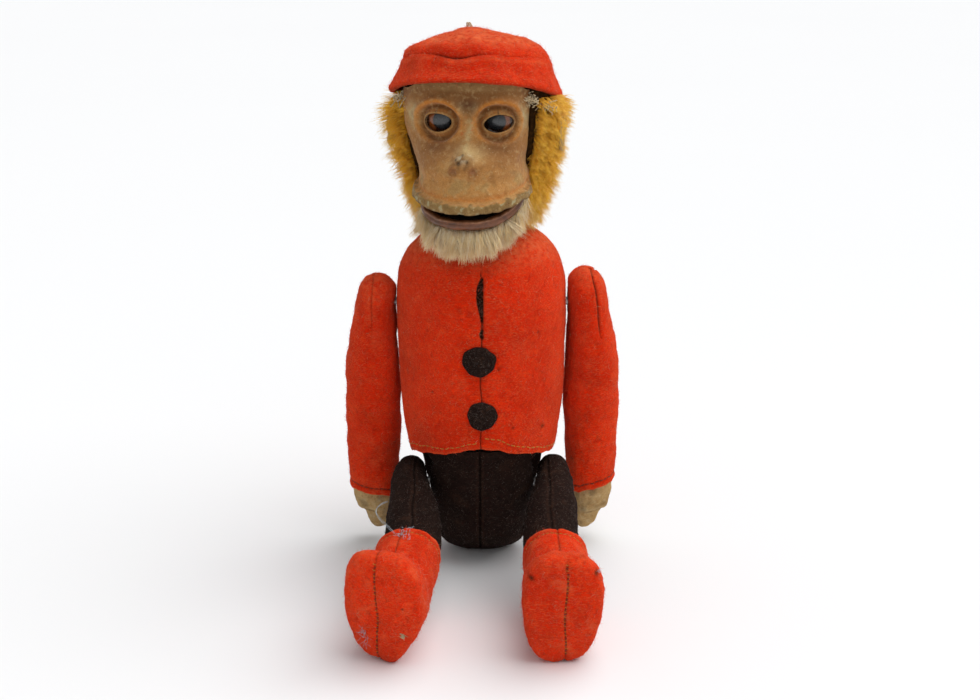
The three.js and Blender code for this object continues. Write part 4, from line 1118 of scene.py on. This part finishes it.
CAP = [(-0.3, 40.3), (1.5, 40.9), (4, 40.3), (8, 38.4), (12.2, 36.6), (15, 36.1), (17.8, 34.9), (20, 33),
       (21.9, 30.9), (24, 27.8), (25.8, 24.2), (28, 18.4), (29.6, 13), (30.6, 6.5), (30.9, 3), (31, 0.4)]


def cap_place(points):
    return head_place(rotated(points, "x", -12) + [-1, 0, 238.6])


def make_cap():
    steps = [math.hypot(b[0] - a[0], b[1] - a[1]) for a, b in zip(CAP, CAP[1:])]
    along = np.concatenate([[0.0], np.cumsum(steps)])
    share = np.linspace(0, along[-1], 170)
    height = np.interp(share, along, [row[0] for row in CAP])
    radius = np.interp(share, along, [row[1] for row in CAP])
    for _ in range(8):
        height[1:-1] = (height[:-2] + height[2:] + 2 * height[1:-1]) / 4
        radius[1:-1] = (radius[:-2] + radius[2:] + 2 * radius[1:-1]) / 4
    turn = np.linspace(-math.pi, math.pi, 321)[None, :-1]
    low = 2.1 * ease(np.cos(turn), 0.1, 0.98) - 0.5 * bump(np.abs(turn) - 1.45, 0.5)
    h = height[:, None] + low * (1 - ease(height[:, None], 0, 9))
    lean = -1.0 - 3.6 * ease(h, 24, 31)
    plain = xyz(radius[:, None] * np.sin(turn) + lean, -radius[:, None] * np.cos(turn), h)
    x = plain[..., 0]
    front = ease(np.cos(turn) + 0 * h, -0.2, 0.5)
    crease = 15.6 - 2.0 * bump(x + 4, 11) - 0.5 * bump(x - 30, 12) + 0.35 * np.sin(x / 4)
    off = h - crease
    strong = 0.25 + 0.75 * bump(x + 5, 12) * (1 - 0.5 * ease(np.abs(x + 5), 10, 18))
    fold = front * strong * (1.5 * bump(off, 0.6) + 0.7 * bump(off - 0.6, 1.7))
    fold += 0.5 * bump(np.hypot((x - 14) / 9, (h - 20.5 + 0.1 * x) / 1.1), 1) * front
    fold += 0.6 * bump(np.hypot((x + 27) / 5, (h - 17.0 - 0.3 * (x + 27)) / 0.9), 1) * front
    roll = front * (0.9 * bump(off + 2.6, 2.2) + 0.8 * bump(off - 3.4, 2.6)) * (0.5 + 0.5 * strong)
    soft = roughness(plain, (24, 101, 0.6), (9, 102, 0.32), (3.4, 103, 0.1))
    slack = 1.7 * bump(x + 19, 15) * ease(h, 19, 26) + 0.5 * ease(h, 25, 30) * ease(np.abs(x + 2), 1, 6)
    amount = (soft + roll - fold - slack) * ease(31 - h, 0, 1.0) + 0.7 * bump(h - low - 1.0, 1.8)
    outer = pushed(plain, amount)
    inner = pushed(plain, (soft * 0.3 - 1.8) * ease(31 - h, 0, 1.0))
    inner[..., 2] = np.where(h < 3, outer[..., 2], np.minimum(inner[..., 2], 29.2))
    # Painted shade: darker along the crease; the noise patches are grime.
    dirt_and_shade = front * strong * 0.55 * bump(off, 0.4) + 0.08 * patches(plain, 14, 105, 0.3, 1.4)
    # Darker along the lower rim.
    dirt_and_shade += 0.45 * bump(h - low + 0.3, 0.7)
    # Painted highlight: paler over the top of the cap; the patches and the rolled ridge are paler from use.
    wear_and_highlight = (0.9 * ease(h, 17, 24) + 0.15 * patches(plain, 7, 106, 0.4, 1.5)
            + 0.3 * bump(off + 2.4, 1.0) * front)
    paint = soil_and_light_paint(dirt_and_shade, wear_and_highlight)
    placed = cap_place(outer)
    piece = add_sheet("cap_felt", placed, cap_place(inner), red, "head", paint, slot="red_felt",
                      stands_for=("cap",))
    add_fuzz("cap_fuzz", placed, 6500, 107, red_fibre, "head", length=1.7, stand=0.6)
    add_fuzz("cap_pale_fuzz", placed, 450, 108, linen, "head", length=2.0, stand=0.6, radius=0.03)
    t = np.linspace(0, 1, 26)
    loops = []
    for k, tilt in enumerate((-1.1, -0.3)):
        arch = xyz(-1.3 + 2.6 * t + tilt * np.sin(math.pi * t) * 1.2, 0.4 * k,
                   4.0 * np.sin(math.pi * t) ** 0.8 - 1.0)
        loops.append(arch + [-5.4, 6.0, 268.2])
    add_tubes("cap_thread", head_place(np.array(loops)), 0.32, linen, "head", 8, slot="linen_thread",
              stands_for=("cap_loop",))


# ---------------- jaw
LIP = [(-1.0, -23.5, -26, 193.8), (-0.72, -19, -35, 187.2), (-0.36, -10.5, -42.6, 184.6),
       (0, 0, -45.4, 184.0), (0.36, 10.5, -42.6, 184.8), (0.72, 20, -35, 189.2), (1.0, 26.5, -27, 198.4)]


def make_lip():
    share = np.linspace(-1, 1, 120)
    path = np.stack(table_at(LIP, share), 1)
    way = np.gradient(path, axis=0)
    way = unit(way)
    out = np.cross(way, [0, 0, 1.0])
    out = unit(out)
    up = np.cross(out, way)
    if out[60, 1] > 0:
        out = -out
    turn = circle(40)
    slim = (0.55 + 0.45 * ease(1 - np.abs(share), 0, 0.22))[:, None]
    profile_out = (2.1 * round_power(np.cos(turn), 0.8)
                   + 0.35 * bump(np.sin(turn) - 0.55, 0.22) * (np.cos(turn) > 0))
    profile_out = profile_out - 0.45 * bump(np.sin(turn) - 0.22, 0.16) * (np.cos(turn) > 0)
    profile_up = 2.35 * round_power(np.sin(turn), 0.8)
    grid = path[:, None] + out[:, None] * (slim * profile_out)[..., None]
    grid = grid + up[:, None] * (slim * profile_up)[..., None]
    grid = grid + waves(grid, 5, 111)[..., None] * 0.1
    # Painted highlight along the top of the ridge.
    ridge_highlight = bump(np.sin(turn) - 0.62, 0.2)[None] * (np.cos(turn) > -0.2)[None]
    ridge_highlight = ridge_highlight * (0.8 + 0.2 * np.sin(share * 9))[:, None]
    placed = head_place(grid)
    add_loft("lip_band", placed, lip, "jaw", xyz(0, ridge_highlight, 0), slot="lip_felt", stands_for=("lower_lip",))


CHIN = [(170.5, 9, 2.6, -41.5), (174, 12, 4.2, -40.5), (179, 14, 5.4, -37.5), (183, 15, 5.6, -35.0)]


def make_beard():
    turns = circle(80)
    heights = np.linspace(172.5, 182.6, 16)
    wide, deep, y = table_at(CHIN, heights)
    grid = xyz(wide[:, None] * np.cos(turns), y[:, None] + deep[:, None] * np.sin(turns), heights[:, None])
    paint = np.broadcast_to([0.1, 0.3, 0.0], grid.shape)
    add_loft("beard_backing", head_place(grid), backing, "jaw", paint, slot="white_mohair",
             stands_for=("chin_pelt",))
    random = np.random.default_rng(121)
    count = 13000
    share = random.uniform(-1, 1, count)
    share = np.sign(share) * np.abs(share) ** 0.85
    path = np.stack(table_at(LIP, share), 1)
    back = random.uniform(0, 1, count)
    root = path * np.array([1, 1, 0]) * (1.0 - 0.14 * back)[:, None]
    root[:, 2] = path[:, 2] - 2.0 - 3.6 * back - random.uniform(0, 1.4, count)
    out = outward(root)
    way = DOWN + out * (0.16 + 0.16 * random.random(count))[:, None]
    length = (9.4 + 3.0 * np.cos(share * 1.3)) * (1 - 0.16 * back)
    whiteness = 0.7 * random.random(count) ** 1.5
    add_hair("white_beard", head_place(root), rotated(way, "z", HEAD_YAW), length, white, "jaw", 122,
             radius=0.13, fall=0.08, curl=0.5, white=whiteness, lock_size=2.6, gather=0.8,
             slot="white_mohair")
    cheek = 5200
    side = random.choice([-1.0, 1.0], cheek)
    height = random.uniform(183, 200, cheek)
    turn = np.radians(random.uniform(50, 76, cheek))
    width, fore = table_at(SKULL, height)
    root = xyz((width + 1.5) * np.sin(turn) * side, -(fore + 1.5) * np.cos(turn), height)
    out = outward(root)
    way = out + np.array([0, -0.35, -0.75])
    mixed = 0.4 * ease(200 - height + random.normal(size=cheek) * 4, 4, 13) * random.uniform(0.5, 1, cheek)
    add_hair("cheek_pile", head_place(root), rotated(way, "z", HEAD_YAW), 8.6, gold, "head", 123,
             white=mixed,
             radius=0.12, fall=0.3)


# ---------------- arms
SLEEVE = [(152.4, 50.8, 53.2, 1.5), (152, 49.5, 54.5, 4), (150.6, 47, 57.5, 8), (147, 43.8, 60, 11),
          (141, 42.6, 61.8, 13.2), (132, 42.4, 63.5, 14), (116, 42.4, 66.5, 14.4), (98, 41.8, 68.6, 14.4),
          (78, 41.2, 69.2, 14), (60, 42.2, 69.4, 13.2), (46, 43.6, 69.4, 12.6), (34.6, 44.8, 69, 12.4),
          (26, 45.2, 68.8, 12.2)]
HAND = [(44, 47.6, 67, 9.2), (34, 47.2, 67.6, 9.8), (28, 47, 67.2, 10), (22.5, 47.2, 65.8, 9.4),
        (19.4, 47.5, 64.8, 9.0), (18.2, 47.7, 62.6, 8.6), (17.2, 47.9, 61.4, 8.3), (12.5, 48.8, 60.2, 7.2),
        (9.4, 49.8, 58.4, 5.8), (7.8, 50.8, 57, 4.4), (7, 52.6, 55.2, 2.4)]
SHOULDER_Z = 136
ARM_LEAN = 0.151
CUFF_STITCH = 3.2
SLEEVE_BACK = 56.5


def arm_grid(table, side, z, turn):
    near, far, deep = table_at(table, z)
    middle = 3 + (SHOULDER_Z - z) * ARM_LEAN
    return xyz(side * ((near + far) / 2 + (far - near) / 2 * round_power(np.cos(turn), 2 / 2.3)),
               middle + deep * round_power(np.sin(turn), 2 / 2.3), z)


def cuff_height(turn, side):
    if side > 0:
        return 34.2 + 3.6 * np.cos(turn) + 0.6 * np.sin(turn)
    return 31.4 + 2.4 * np.cos(turn) + 0.6 * np.sin(turn)


def make_sleeve(name, side, body, turn):
    share = np.linspace(0, 1, 150)[:, None]
    round_cuff = xyz(20 * np.cos(turn), 14 * np.sin(turn), 0)
    edge = cuff_height(turn, side) + waves(round_cuff, 6, 131 + side) * 0.3
    z = edge + (152.3 - edge) * (1 - (1 - share) ** 1.25)
    plain = arm_grid(SLEEVE, side, z, turn)
    x = side * plain[..., 0]
    front = np.sin(turn) + 0 * z < 0
    seam = (54.2 + (150 - z) * 0.16 if side > 0 else 53.2 + (150 - z) * 0.05) + 0.3 * np.sin(z / 7)
    deep_seam = 1.0 if side > 0 else 0.45
    off = x - seam
    run = ease(z, 116, 126) * front * deep_seam
    groove = run * dips(off, (1.0, 0.55), (0.4, 2.2))
    back_seam = np.where(~front, dips(x - SLEEVE_BACK, (0.8, 0.55), (0.35, 2.4)), 0)
    groove = groove + back_seam
    above = z - edge
    groove += (0.45 * bump(above - CUFF_STITCH, 0.6) + 0.25 * bump(above - CUFF_STITCH, 2)
               - 0.5 * bump(above - 0.8, 1.2))
    elbow = 0.9 * bump(oval(x, z, 70, 96, 9, 10), 1)
    elbow = elbow - 0.7 * bump((z - 88 - 0.2 * (x - 60)) / 3.4, 1) * ease(x, 58, 68)
    soft = roughness(plain, (22, 132 + side, 0.5), (8, 135 + side, 0.2), (2.8, 138 + side, 0.07))
    outer = pushed(plain, soft + elbow * 0.7 - groove)
    least = np.minimum(table_at(SLEEVE, z)[0], 42.5)
    outer[..., 0] = side * np.clip(side * outer[..., 0], least, 70.1)
    outer[..., 2] += (0.8 if side > 0 else -2.4) * ease(z, 122, 150)
    deeper = arm_grid(SLEEVE, side, edge + 3.5, turn).mean(1, keepdims=True)
    middle = plain[:1].mean(1, keepdims=True)
    opening = plain[:1] - middle
    inside = [deeper + opening * 0.84 + [0, 0, 3.0], middle + opening * 0.88 + [0, 0, 0.5]]
    grid = np.concatenate([*inside, outer])
    # Painted shade: darker in the seam grooves and the cuff's stitch groove; the noise patches are grime.
    dirt_and_shade = run * 0.75 * bump(off, 0.4) + np.where(~front, 0.6 * bump(x - SLEEVE_BACK, 0.5), 0)
    dirt_and_shade = dirt_and_shade + 0.4 * bump(above - CUFF_STITCH, 0.45) + 0.1 * patches(plain, 20, 141 + side, 0.3, 1.5)
    # Paler at the cuff and in patches from use; paler towards the shoulder is a painted highlight.
    wear_and_highlight = (0.45 * bump(above, 0.8) + 0.2 * patches(plain, 12, 144 + side, 0.4, 1.5)
            + 0.35 * ease(z, 138, 150))
    paint = soil_and_light_paint(dirt_and_shade, wear_and_highlight)
    # Painted shade: the two inside rows of the cuff opening are darkened.
    shaded_inside = np.broadcast_to(np.array([0.55, 0, 0]), (2, plain.shape[1], 3))
    paint = np.concatenate([shaded_inside, paint])
    piece = add_loft("sleeve_felt_" + name, grid, red, body, paint, slot="red_felt",
                     stands_for=("sleeve_" + name,))
    add_fuzz("sleeve_fuzz_" + name, outer, 5200, 151 + side, red_fibre, body, length=1.6, stand=0.5)
    add_fuzz("sleeve_pale_fuzz_" + name, outer, 600, 154 + side, linen, body, length=2.2, stand=0.5,
             radius=0.03)
    row = np.argmin(np.abs(above - CUFF_STITCH), axis=0)
    column = np.arange(outer.shape[1])
    normal = normals_of(outer)
    paths = stitches(outer[row, column], normal[row, column], 1.7, 0.8, sink=0.1, rise=0.25)
    add_tubes("cuff_stitches_" + name, paths, 0.2, dark_thread, body, slot="linen_thread")


def make_hand(name, side, body, turn):
    rows = np.linspace(44, 7.1, 130)[:, None]
    plain = arm_grid(HAND, side, rows + 0 * turn, turn)
    x = side * plain[..., 0]
    z = plain[..., 2]
    soft = roughness(plain, (10, 161 + side, 0.3), (3.4, 164 + side, 0.12))
    fold = z - 18.2 - 0.1 * (x - 56)
    crease = 0.6 * bump(fold, 0.7) * ease(x, 52, 57)
    outer = pushed(plain, soft - crease)
    # Painted shade: darker in the wrist crease; the noise patches are grime.
    dirt_and_shade = 0.5 * bump(fold, 0.6) * ease(x, 52, 57) + 0.3 * patches(plain, 7, 167 + side, 0.2, 1.4)
    wear_and_highlight = 0.4 * bump(fold - 1.6, 1.0) + 0.4 * patches(plain, 5, 170 + side, 0.5, 1.5)
    piece = add_loft("hand_felt_" + name, outer, beige, body, soil_and_light_paint(dirt_and_shade, wear_and_highlight),
                     slot="beige_felt", stands_for=("hand_" + name,))
    add_fuzz("hand_fuzz_" + name, outer[10:], 900, 173 + side, beige_fibre, body, length=1.1, stand=0.5,
             radius=0.035)


def make_arms():
    turn = circle(220)[None]
    for name, side in SIDES:
        make_sleeve(name, side, "arm_" + name, turn)
        make_hand(name, side, "arm_" + name, turn)


# ---------------- legs
THIGH = [(-12.6, 1, 1, 1), (-12.4, 3, 3.5, 3.5), (-11, 4.8, 6.4, 6.6), (-7.5, 6.2, 8.6, 10.2),
         (0, 7.4, 10.2, 12.6), (12, 9.4, 11.2, 13), (28, 11.8, 11.8, 13.2), (44, 13.4, 12, 13.3),
         (61.7, 14, 12.2, 13.4), (65, 13.8, 12, 13.2)]
BOOT = [(62, 14.8, -15.4, 16), (70, 15.3, -15.8, 16.4), (84, 15.5, -16.2, 16.2), (93, 15.8, -17, 17.2),
        (99, 16.4, -17.4, 24), (104, 17, -17.8, 34), (109, 17.5, -18, 39.5), (114, 17.6, -17.9, 41),
        (117, 16.2, -15.5, 39), (118, 13.4, -11, 35)]
SOLE_ROWS = 20


def leg_place(points, side):
    return rotated(points, "x", LEG_SLOPE) + [side * HIP[0], HIP[1], HIP[2]]


def make_legs():
    for name, side, yaw, skew in (("left", 1, 1.8, 0.04), ("right", -1, 9.0, 0.30)):
        body = "leg_" + name
        turn = circle(180)[None]
        along = np.concatenate([-12.6 + 12.6 * (1 - np.cos(np.linspace(0, math.pi / 2, 22))),
                                np.linspace(0.7, 65, 78)])[:, None]
        near, far, high = table_at(THIGH, along + 0 * turn)
        near = near + (1.0 if side > 0 else 1.6) * ease(along, 8, 30) * (1 - ease(along, 48, 60))
        plain = xyz(side * (far - near) / 2 + (near + far) / 2 * round_power(np.cos(turn), 2 / 2.1), -along,
                    high * round_power(np.sin(turn), 2 / 2.1))
        top = np.sin(turn) + 0 * along > 0
        off = plain[..., 0] + side * 1.5 + 0.3 * np.sin(along / 5)
        groove = dips(off, (0.7, 0.5), (0.35, 2.4)) * top * ease(along, -6, 2)
        soft = roughness(plain, (18, 181 + side, 0.35), (6, 184 + side, 0.18), (2.4, 187 + side, 0.07))
        outer = pushed(plain, (soft - groove) * ease(along, -12.6, -8))
        outer[..., 0] = -side * np.minimum(-side * outer[..., 0], near)
        grid = leg_place(outer, side)
        # Painted shade: darker in the seam's groove.
        dirt_and_shade = 0.45 * bump(off, 0.4) * top
        wear_and_highlight = 0.3 * patches(plain, 9, 190 + side, 0.5, 1.6) + 0.3 * bump(np.abs(off) - 1.3, 0.6) * top
        piece = add_loft("trouser_leg_felt_" + name, grid, brown, body, soil_and_light_paint(dirt_and_shade, wear_and_highlight),
                         slot="brown_felt", stands_for=("trouser_leg_" + name,))
        add_fuzz("trouser_leg_fuzz_" + name, grid[14:-6], 3200, 193 + side, brown_fibre, body, length=1.5,
                 stand=0.45, radius=0.035)
        make_boot(name, side, yaw, skew, body)


def make_boot(name, side, yaw, skew, body):
    turn = circle(240)[None]
    drift = side * math.tan(math.radians(yaw))
    rounded = 114 + 4 * np.sin(np.linspace(0.06, 1, 16) * math.pi / 2)
    along = np.concatenate([np.linspace(62, 94, 46), np.linspace(94.6, 114, 40), rounded])[:, None]
    ragged = waves(xyz(15 * np.cos(turn), 15 * np.sin(turn), 0), 6, 201 + side) * 0.3
    ragged = ragged * (1 - ease(along, 62, 66))
    wide, low, high = table_at(BOOT, along + 0 * turn)
    power = 2 / (2.25 + 0.75 * ease(along, 92, 108))
    b = round_power(np.sin(turn) + 0 * along, power)
    rise = (high - low) / 2 * b
    foot = ease(along, 96, 112)
    taper = 1 - 0.12 * foot * ease(-b, -0.1, 1.0) + 0.01 * foot * ease(b, 0, 1)
    a = wide * taper * round_power(np.cos(turn) + 0 * along, power)
    lean = ease(along, 84, 112)
    if side < 0:
        a = a - 5.0 * ease(-b, -0.1, 1.0) * ease(a, -2, 15) * ease(along, 92, 110)
    plain = xyz(drift * (along - BOOT_TOP) + a, -along - ragged - skew * a * lean * (-side),
                (high + low) / 2 + rise)
    shrink = np.linspace(0.93, 0.03, SOLE_ROWS)[:, None, None]
    last = plain[-1:]
    centre = last.mean(1, keepdims=True)
    face = centre + (last - centre) * shrink
    face[..., 1] -= 1.2 * (1 - shrink[..., 0] ** 2)
    plain = np.concatenate([plain, face])
    x = plain[..., 0] - drift * (-plain[..., 1] - BOOT_TOP)
    z, deep = plain[..., 2], -plain[..., 1]
    sole = np.concatenate([ease(along, 111, 116) + 0 * turn, np.ones((SOLE_ROWS, turn.shape[1]))])
    centre_off = x + 0.5 * np.sin(z / 6) * side - (1.2 if side > 0 else -2.8)
    top = (z > 8) & (sole < 0.5)
    groove = sole * dips(centre_off, (0.6, 0.4), (0.4, 2.4))
    groove = groove + dips(centre_off, (0.6, 0.5), (0.3, 2.2)) * top
    cuff = deep - BOOT_TOP
    groove = groove - 0.5 * bump(cuff - 0.6, 1.3) + 0.35 * bump(cuff - BOOT_STITCH, 0.8)
    soft = roughness(plain, (20, 211 + side, 0.38), (8, 214 + side, 0.22), (2.8, 217 + side, 0.09))
    outer = pushed(plain, soft - groove)
    mouth = plain[:1].mean(1, keepdims=True)
    opening = plain[:1] - mouth
    inside = [mouth + opening * 0.86 + [0, -3.0, 0], mouth + opening * 0.9 + [0, -0.3, 0]]
    grid = np.concatenate([*inside, outer])
    # Painted shade: darker in the seam grooves and the cuff's stitch groove; the noise patches are grime.
    dirt_and_shade = sole * 0.5 * bump(centre_off, 0.32) + top * 0.5 * bump(centre_off, 0.4)
    dirt_and_shade = dirt_and_shade + 0.12 * patches(plain, 14, 220 + side, 0.4, 1.5) + 0.3 * bump(cuff - BOOT_STITCH, 0.6)
    wear_and_highlight = 0.5 * bump(cuff, 0.8) + 0.35 * patches(plain, 10, 223 + side, 0.4, 1.5)
    # Painted highlight: paler on the boot's upper side.
    wear_and_highlight = wear_and_highlight + 0.25 * ease(z, 30, 44)
    blot = ((15.0, 32.5, 1.5), (-14.2, 31.5, 1.3)) if side > 0 else ((9.5, 17, 0.6),)
    for bx, bz, size in blot:
        dirt_and_shade = dirt_and_shade + 0.95 * bump(np.hypot(x - bx, z - bz), size) * sole
    paint = soil_and_light_paint(dirt_and_shade, wear_and_highlight)
    # Painted shade: the two inside rows of the boot's opening are darkened.
    paint = np.concatenate([np.broadcast_to(np.array([0.6, 0, 0]), (2, turn.shape[1], 3)), paint])
    placed = leg_place(grid, side)
    placed[..., 2] = np.maximum(placed[..., 2], 0.0)
    piece = add_loft("boot_felt_" + name, placed, red, body, paint, slot="red_felt",
                     stands_for=("boot_" + name,))
    shell = placed[2:]
    add_fuzz("boot_fuzz_" + name, shell, 5200, 226 + side, red_fibre, body, length=1.9, stand=0.6)
    add_fuzz("boot_pale_fuzz_" + name, shell, 450, 229 + side, linen, body, length=2.4, stand=0.6,
             radius=0.03)
    normal = normals_of(shell)
    row = int(np.argmin(np.abs(cuff[:, 0] - BOOT_STITCH)))
    paths = stitches(shell[row], normal[row], 1.5, 0.75)
    add_tubes("boot_cuff_stitches_" + name, paths, 0.17, ochre_thread, body, slot="linen_thread")
    whips = []
    for k, height in enumerate(np.arange(-12, 39, 1.35)):
        near = np.hypot(centre_off, z - height) + 40 * (sole < 0.9)
        i, j = np.unravel_index(int(np.argmin(near)), near.shape)
        spot, up = shell[i, j], normal[i, j]
        across = np.array([1.0, 0.0, 0.35 * (-1) ** k])
        s = np.linspace(-1, 1, 6)[:, None]
        whips.append(spot + across * s * 0.75 + up * (0.5 - 0.45 * s ** 2))
    whips = np.array(whips)
    add_tubes("sole_stitches_" + name, whips[::2], 0.15, dark_thread, body, slot="linen_thread")
    add_tubes("sole_pale_stitches_" + name, whips[1::2], 0.13, ochre_thread, body, slot="linen_thread")
    if side > 0:
        tufts = ((15.2, 32.6, 16, lint_blue, 0.7, "hole_lint"),)
    else:
        tufts = ((12.0, 2.0, 60, linen, 0.9, "moth_patch"), (-5.0, -1.5, 34, lint_blue, 3.0, "sole_lint"))
    random = np.random.default_rng(241 + side)
    for across, height, count, material, size, tuft in tufts:
        near = np.hypot(centre_off - across, z - height) + 40 * (sole < 0.6)
        i, j = np.unravel_index(int(np.argmin(near)), near.shape)
        spot, up = shell[i, j], normal[i, j]
        t = np.linspace(0, 1, 6)[:, None]
        strands = []
        for _ in range(count):
            start = spot + random.normal(size=3) * [size * 0.45, 0.1, size * 0.6] + up * 0.25
            swing = random.normal(size=3) * [size * 0.7, 0.2, size * 0.7] + up * 0.3
            strands.append(start + swing * t + np.sin(t * 5) * random.normal(size=3) * 0.15)
        add_tubes(tuft, np.array(strands), 0.12 if material is linen else 0.05, material, body, 4,
                  slot="linen_thread")


# ---------------- loose threads
def make_lint():
    random = np.random.default_rng(301)
    temples = []
    for x, y, z, count in ((-33.5, -20.5, 239.6, 46), (26.5, -25.0, 240.2, 60), (31.5, -19.0, 237.0, 40)):
        for _ in range(count):
            start = np.array([x, y, z]) + random.normal(size=3) * [2.6, 1.6, 0.9]
            swing = random.normal(size=3) * [1.8, 1.0, 1.4] + [0, -0.6, -1.4]
            t = np.linspace(0, 1, 7)[:, None]
            curl = np.sin(t * random.uniform(4, 9) + random.uniform(0, 6)) * random.normal(size=3) * 0.45
            temples.append(start + swing * t + curl)
    add_tubes("temple_threads", head_place(np.array(temples)), 0.2, linen, "head", 4, slot="linen_thread")
    t = np.linspace(0, 1, 24)[:, None]
    loop = np.hstack([-6 - 9 * np.sin(t * 2.6), -66 + 24 * t, 16.5 + 3.2 * np.sin(t * 3.0)])
    loops = [leg_place(loop + np.hstack([0.4 * np.sin(t * 7 + k), 0 * t, 0.7 * np.cos(t * 5 + k)]), -1)
             for k in range(3)]
    for _ in range(22):
        start = np.array([-1.5, -66, 17.0]) + random.normal(size=3) * [2.2, 2.2, 0.3]
        swing = random.normal(size=3) * [1.5, 2.0, 0.5]
        loops.append(leg_place(start + swing * t + np.sin(t * 6) * random.normal(size=3) * 0.4, -1))
    add_tubes("boot_threads", np.array(loops), 0.07, lint_blue, "leg_right", 4, slot="linen_thread")


# ---------------- hidden works
def finish_nodes():
    tin = metal("tinplate", (0.52, 0.53, 0.52, 1), (0.25, 0.22, 0.18, 1), 0.38)
    steel = metal("steel", (0.46, 0.47, 0.48, 1), (0.22, 0.17, 0.13, 1), 0.34)
    nickel = metal("nickel", (0.66, 0.63, 0.57, 1), (0.34, 0.27, 0.18, 1), 0.26)
    brass = metal("brass", (0.72, 0.52, 0.22, 1), (0.34, 0.22, 0.10, 1), 0.34)
    board = card("card", tint(166, 130, 84), tint(108, 80, 48))
    # A dark brown for the tin inside the head: painted shade.
    inner_shade_tin = card("inner_shade", tint(44, 26, 18), tint(24, 14, 10))
    looks = {"tinplate": tin, "steel": steel, "nickelled_steel": nickel, "brass": brass, "card": board,
             "linen_thread": linen, "eye_glass": glass}
    slots = {part["node"]: part["material_slot"] for part in frame["record"]["subparts"]}
    for name, node in frame["nodes"].items():
        if node.hide_render:
            continue
        look = looks.get(slots.get(name), steel)
        # Painted shade: the tin inside the head is dark brown, for the dark gap of the mouth.
        if name in ("jaw_plate", "head_plate", "head_shell"):
            look = inner_shade_tin
        if not node.material_slots:
            node.data.materials.append(look)
        for entry in node.material_slots:
            entry.link = "OBJECT"
            entry.material = look


# ---------------- room
def make_room():
    scene = bpy.context.scene
    scene.view_settings.view_transform = "Standard"
    scene.view_settings.look = "None"
    bpy.ops.mesh.primitive_plane_add(size=16, location=(0, 0, 0))
    floor = bpy.context.object
    floor.name = "floor"
    f = Finish("floor", roughness=0.75, specular_ior_level=0.25)
    f.colour(f.mottle((0.865, 0.865, 0.867, 1), (0.83, 0.83, 0.835, 1), (1.5, 2), 0.3, 0.7, 0, 0.2))
    floor.data.materials.append(f.material)
    world = bpy.data.worlds.new("room")
    world.use_nodes = True
    sky = world.node_tree.nodes["Background"].inputs
    sky["Color"].default_value = (0.97, 0.985, 1.0, 1)
    sky["Strength"].default_value = 0.48
    scene.world = world
    low, high = (Vector(corner) for corner in cad_bounds)
    aim = (low + high) / 2
    for name, kind, place, size, power in (("key", "SUN", (0.42, -0.04, 1.0), 66, 2.4),
                                           ("front", "AREA", (0.5, -1.6, 0.9), 1.4, 3)):
        light = bpy.data.lights.new(name, kind)
        if kind == "SUN":
            light.angle = math.radians(size)
        else:
            light.size = size
        light.energy = power
        lamp = bpy.data.objects.new(name, light)
        lamp.location = place
        lamp.rotation_euler = (aim - Vector(place)).to_track_quat("-Z", "Y").to_euler()
        scene.collection.objects.link(lamp)
    camera = bpy.data.cameras.new("camera")
    camera.sensor_width = 36
    camera.lens = CAMERA_LENS
    view = bpy.data.objects.new("camera", camera)
    view.location = CAMERA_PLACE
    view.rotation_euler = (math.radians(90 - CAMERA_DOWN), 0, 0)
    scene.collection.objects.link(view)
    scene.camera = view


make_room()
outer, turns, z, normal = make_jacket()
make_jacket_trim(outer, turns, z, normal)
make_buttons()
make_trousers()
make_mask()
make_eyes()
make_pelt()
make_ears()
make_cap()
make_lip()
make_beard()
make_arms()
make_legs()
make_lint()
finish_nodes()
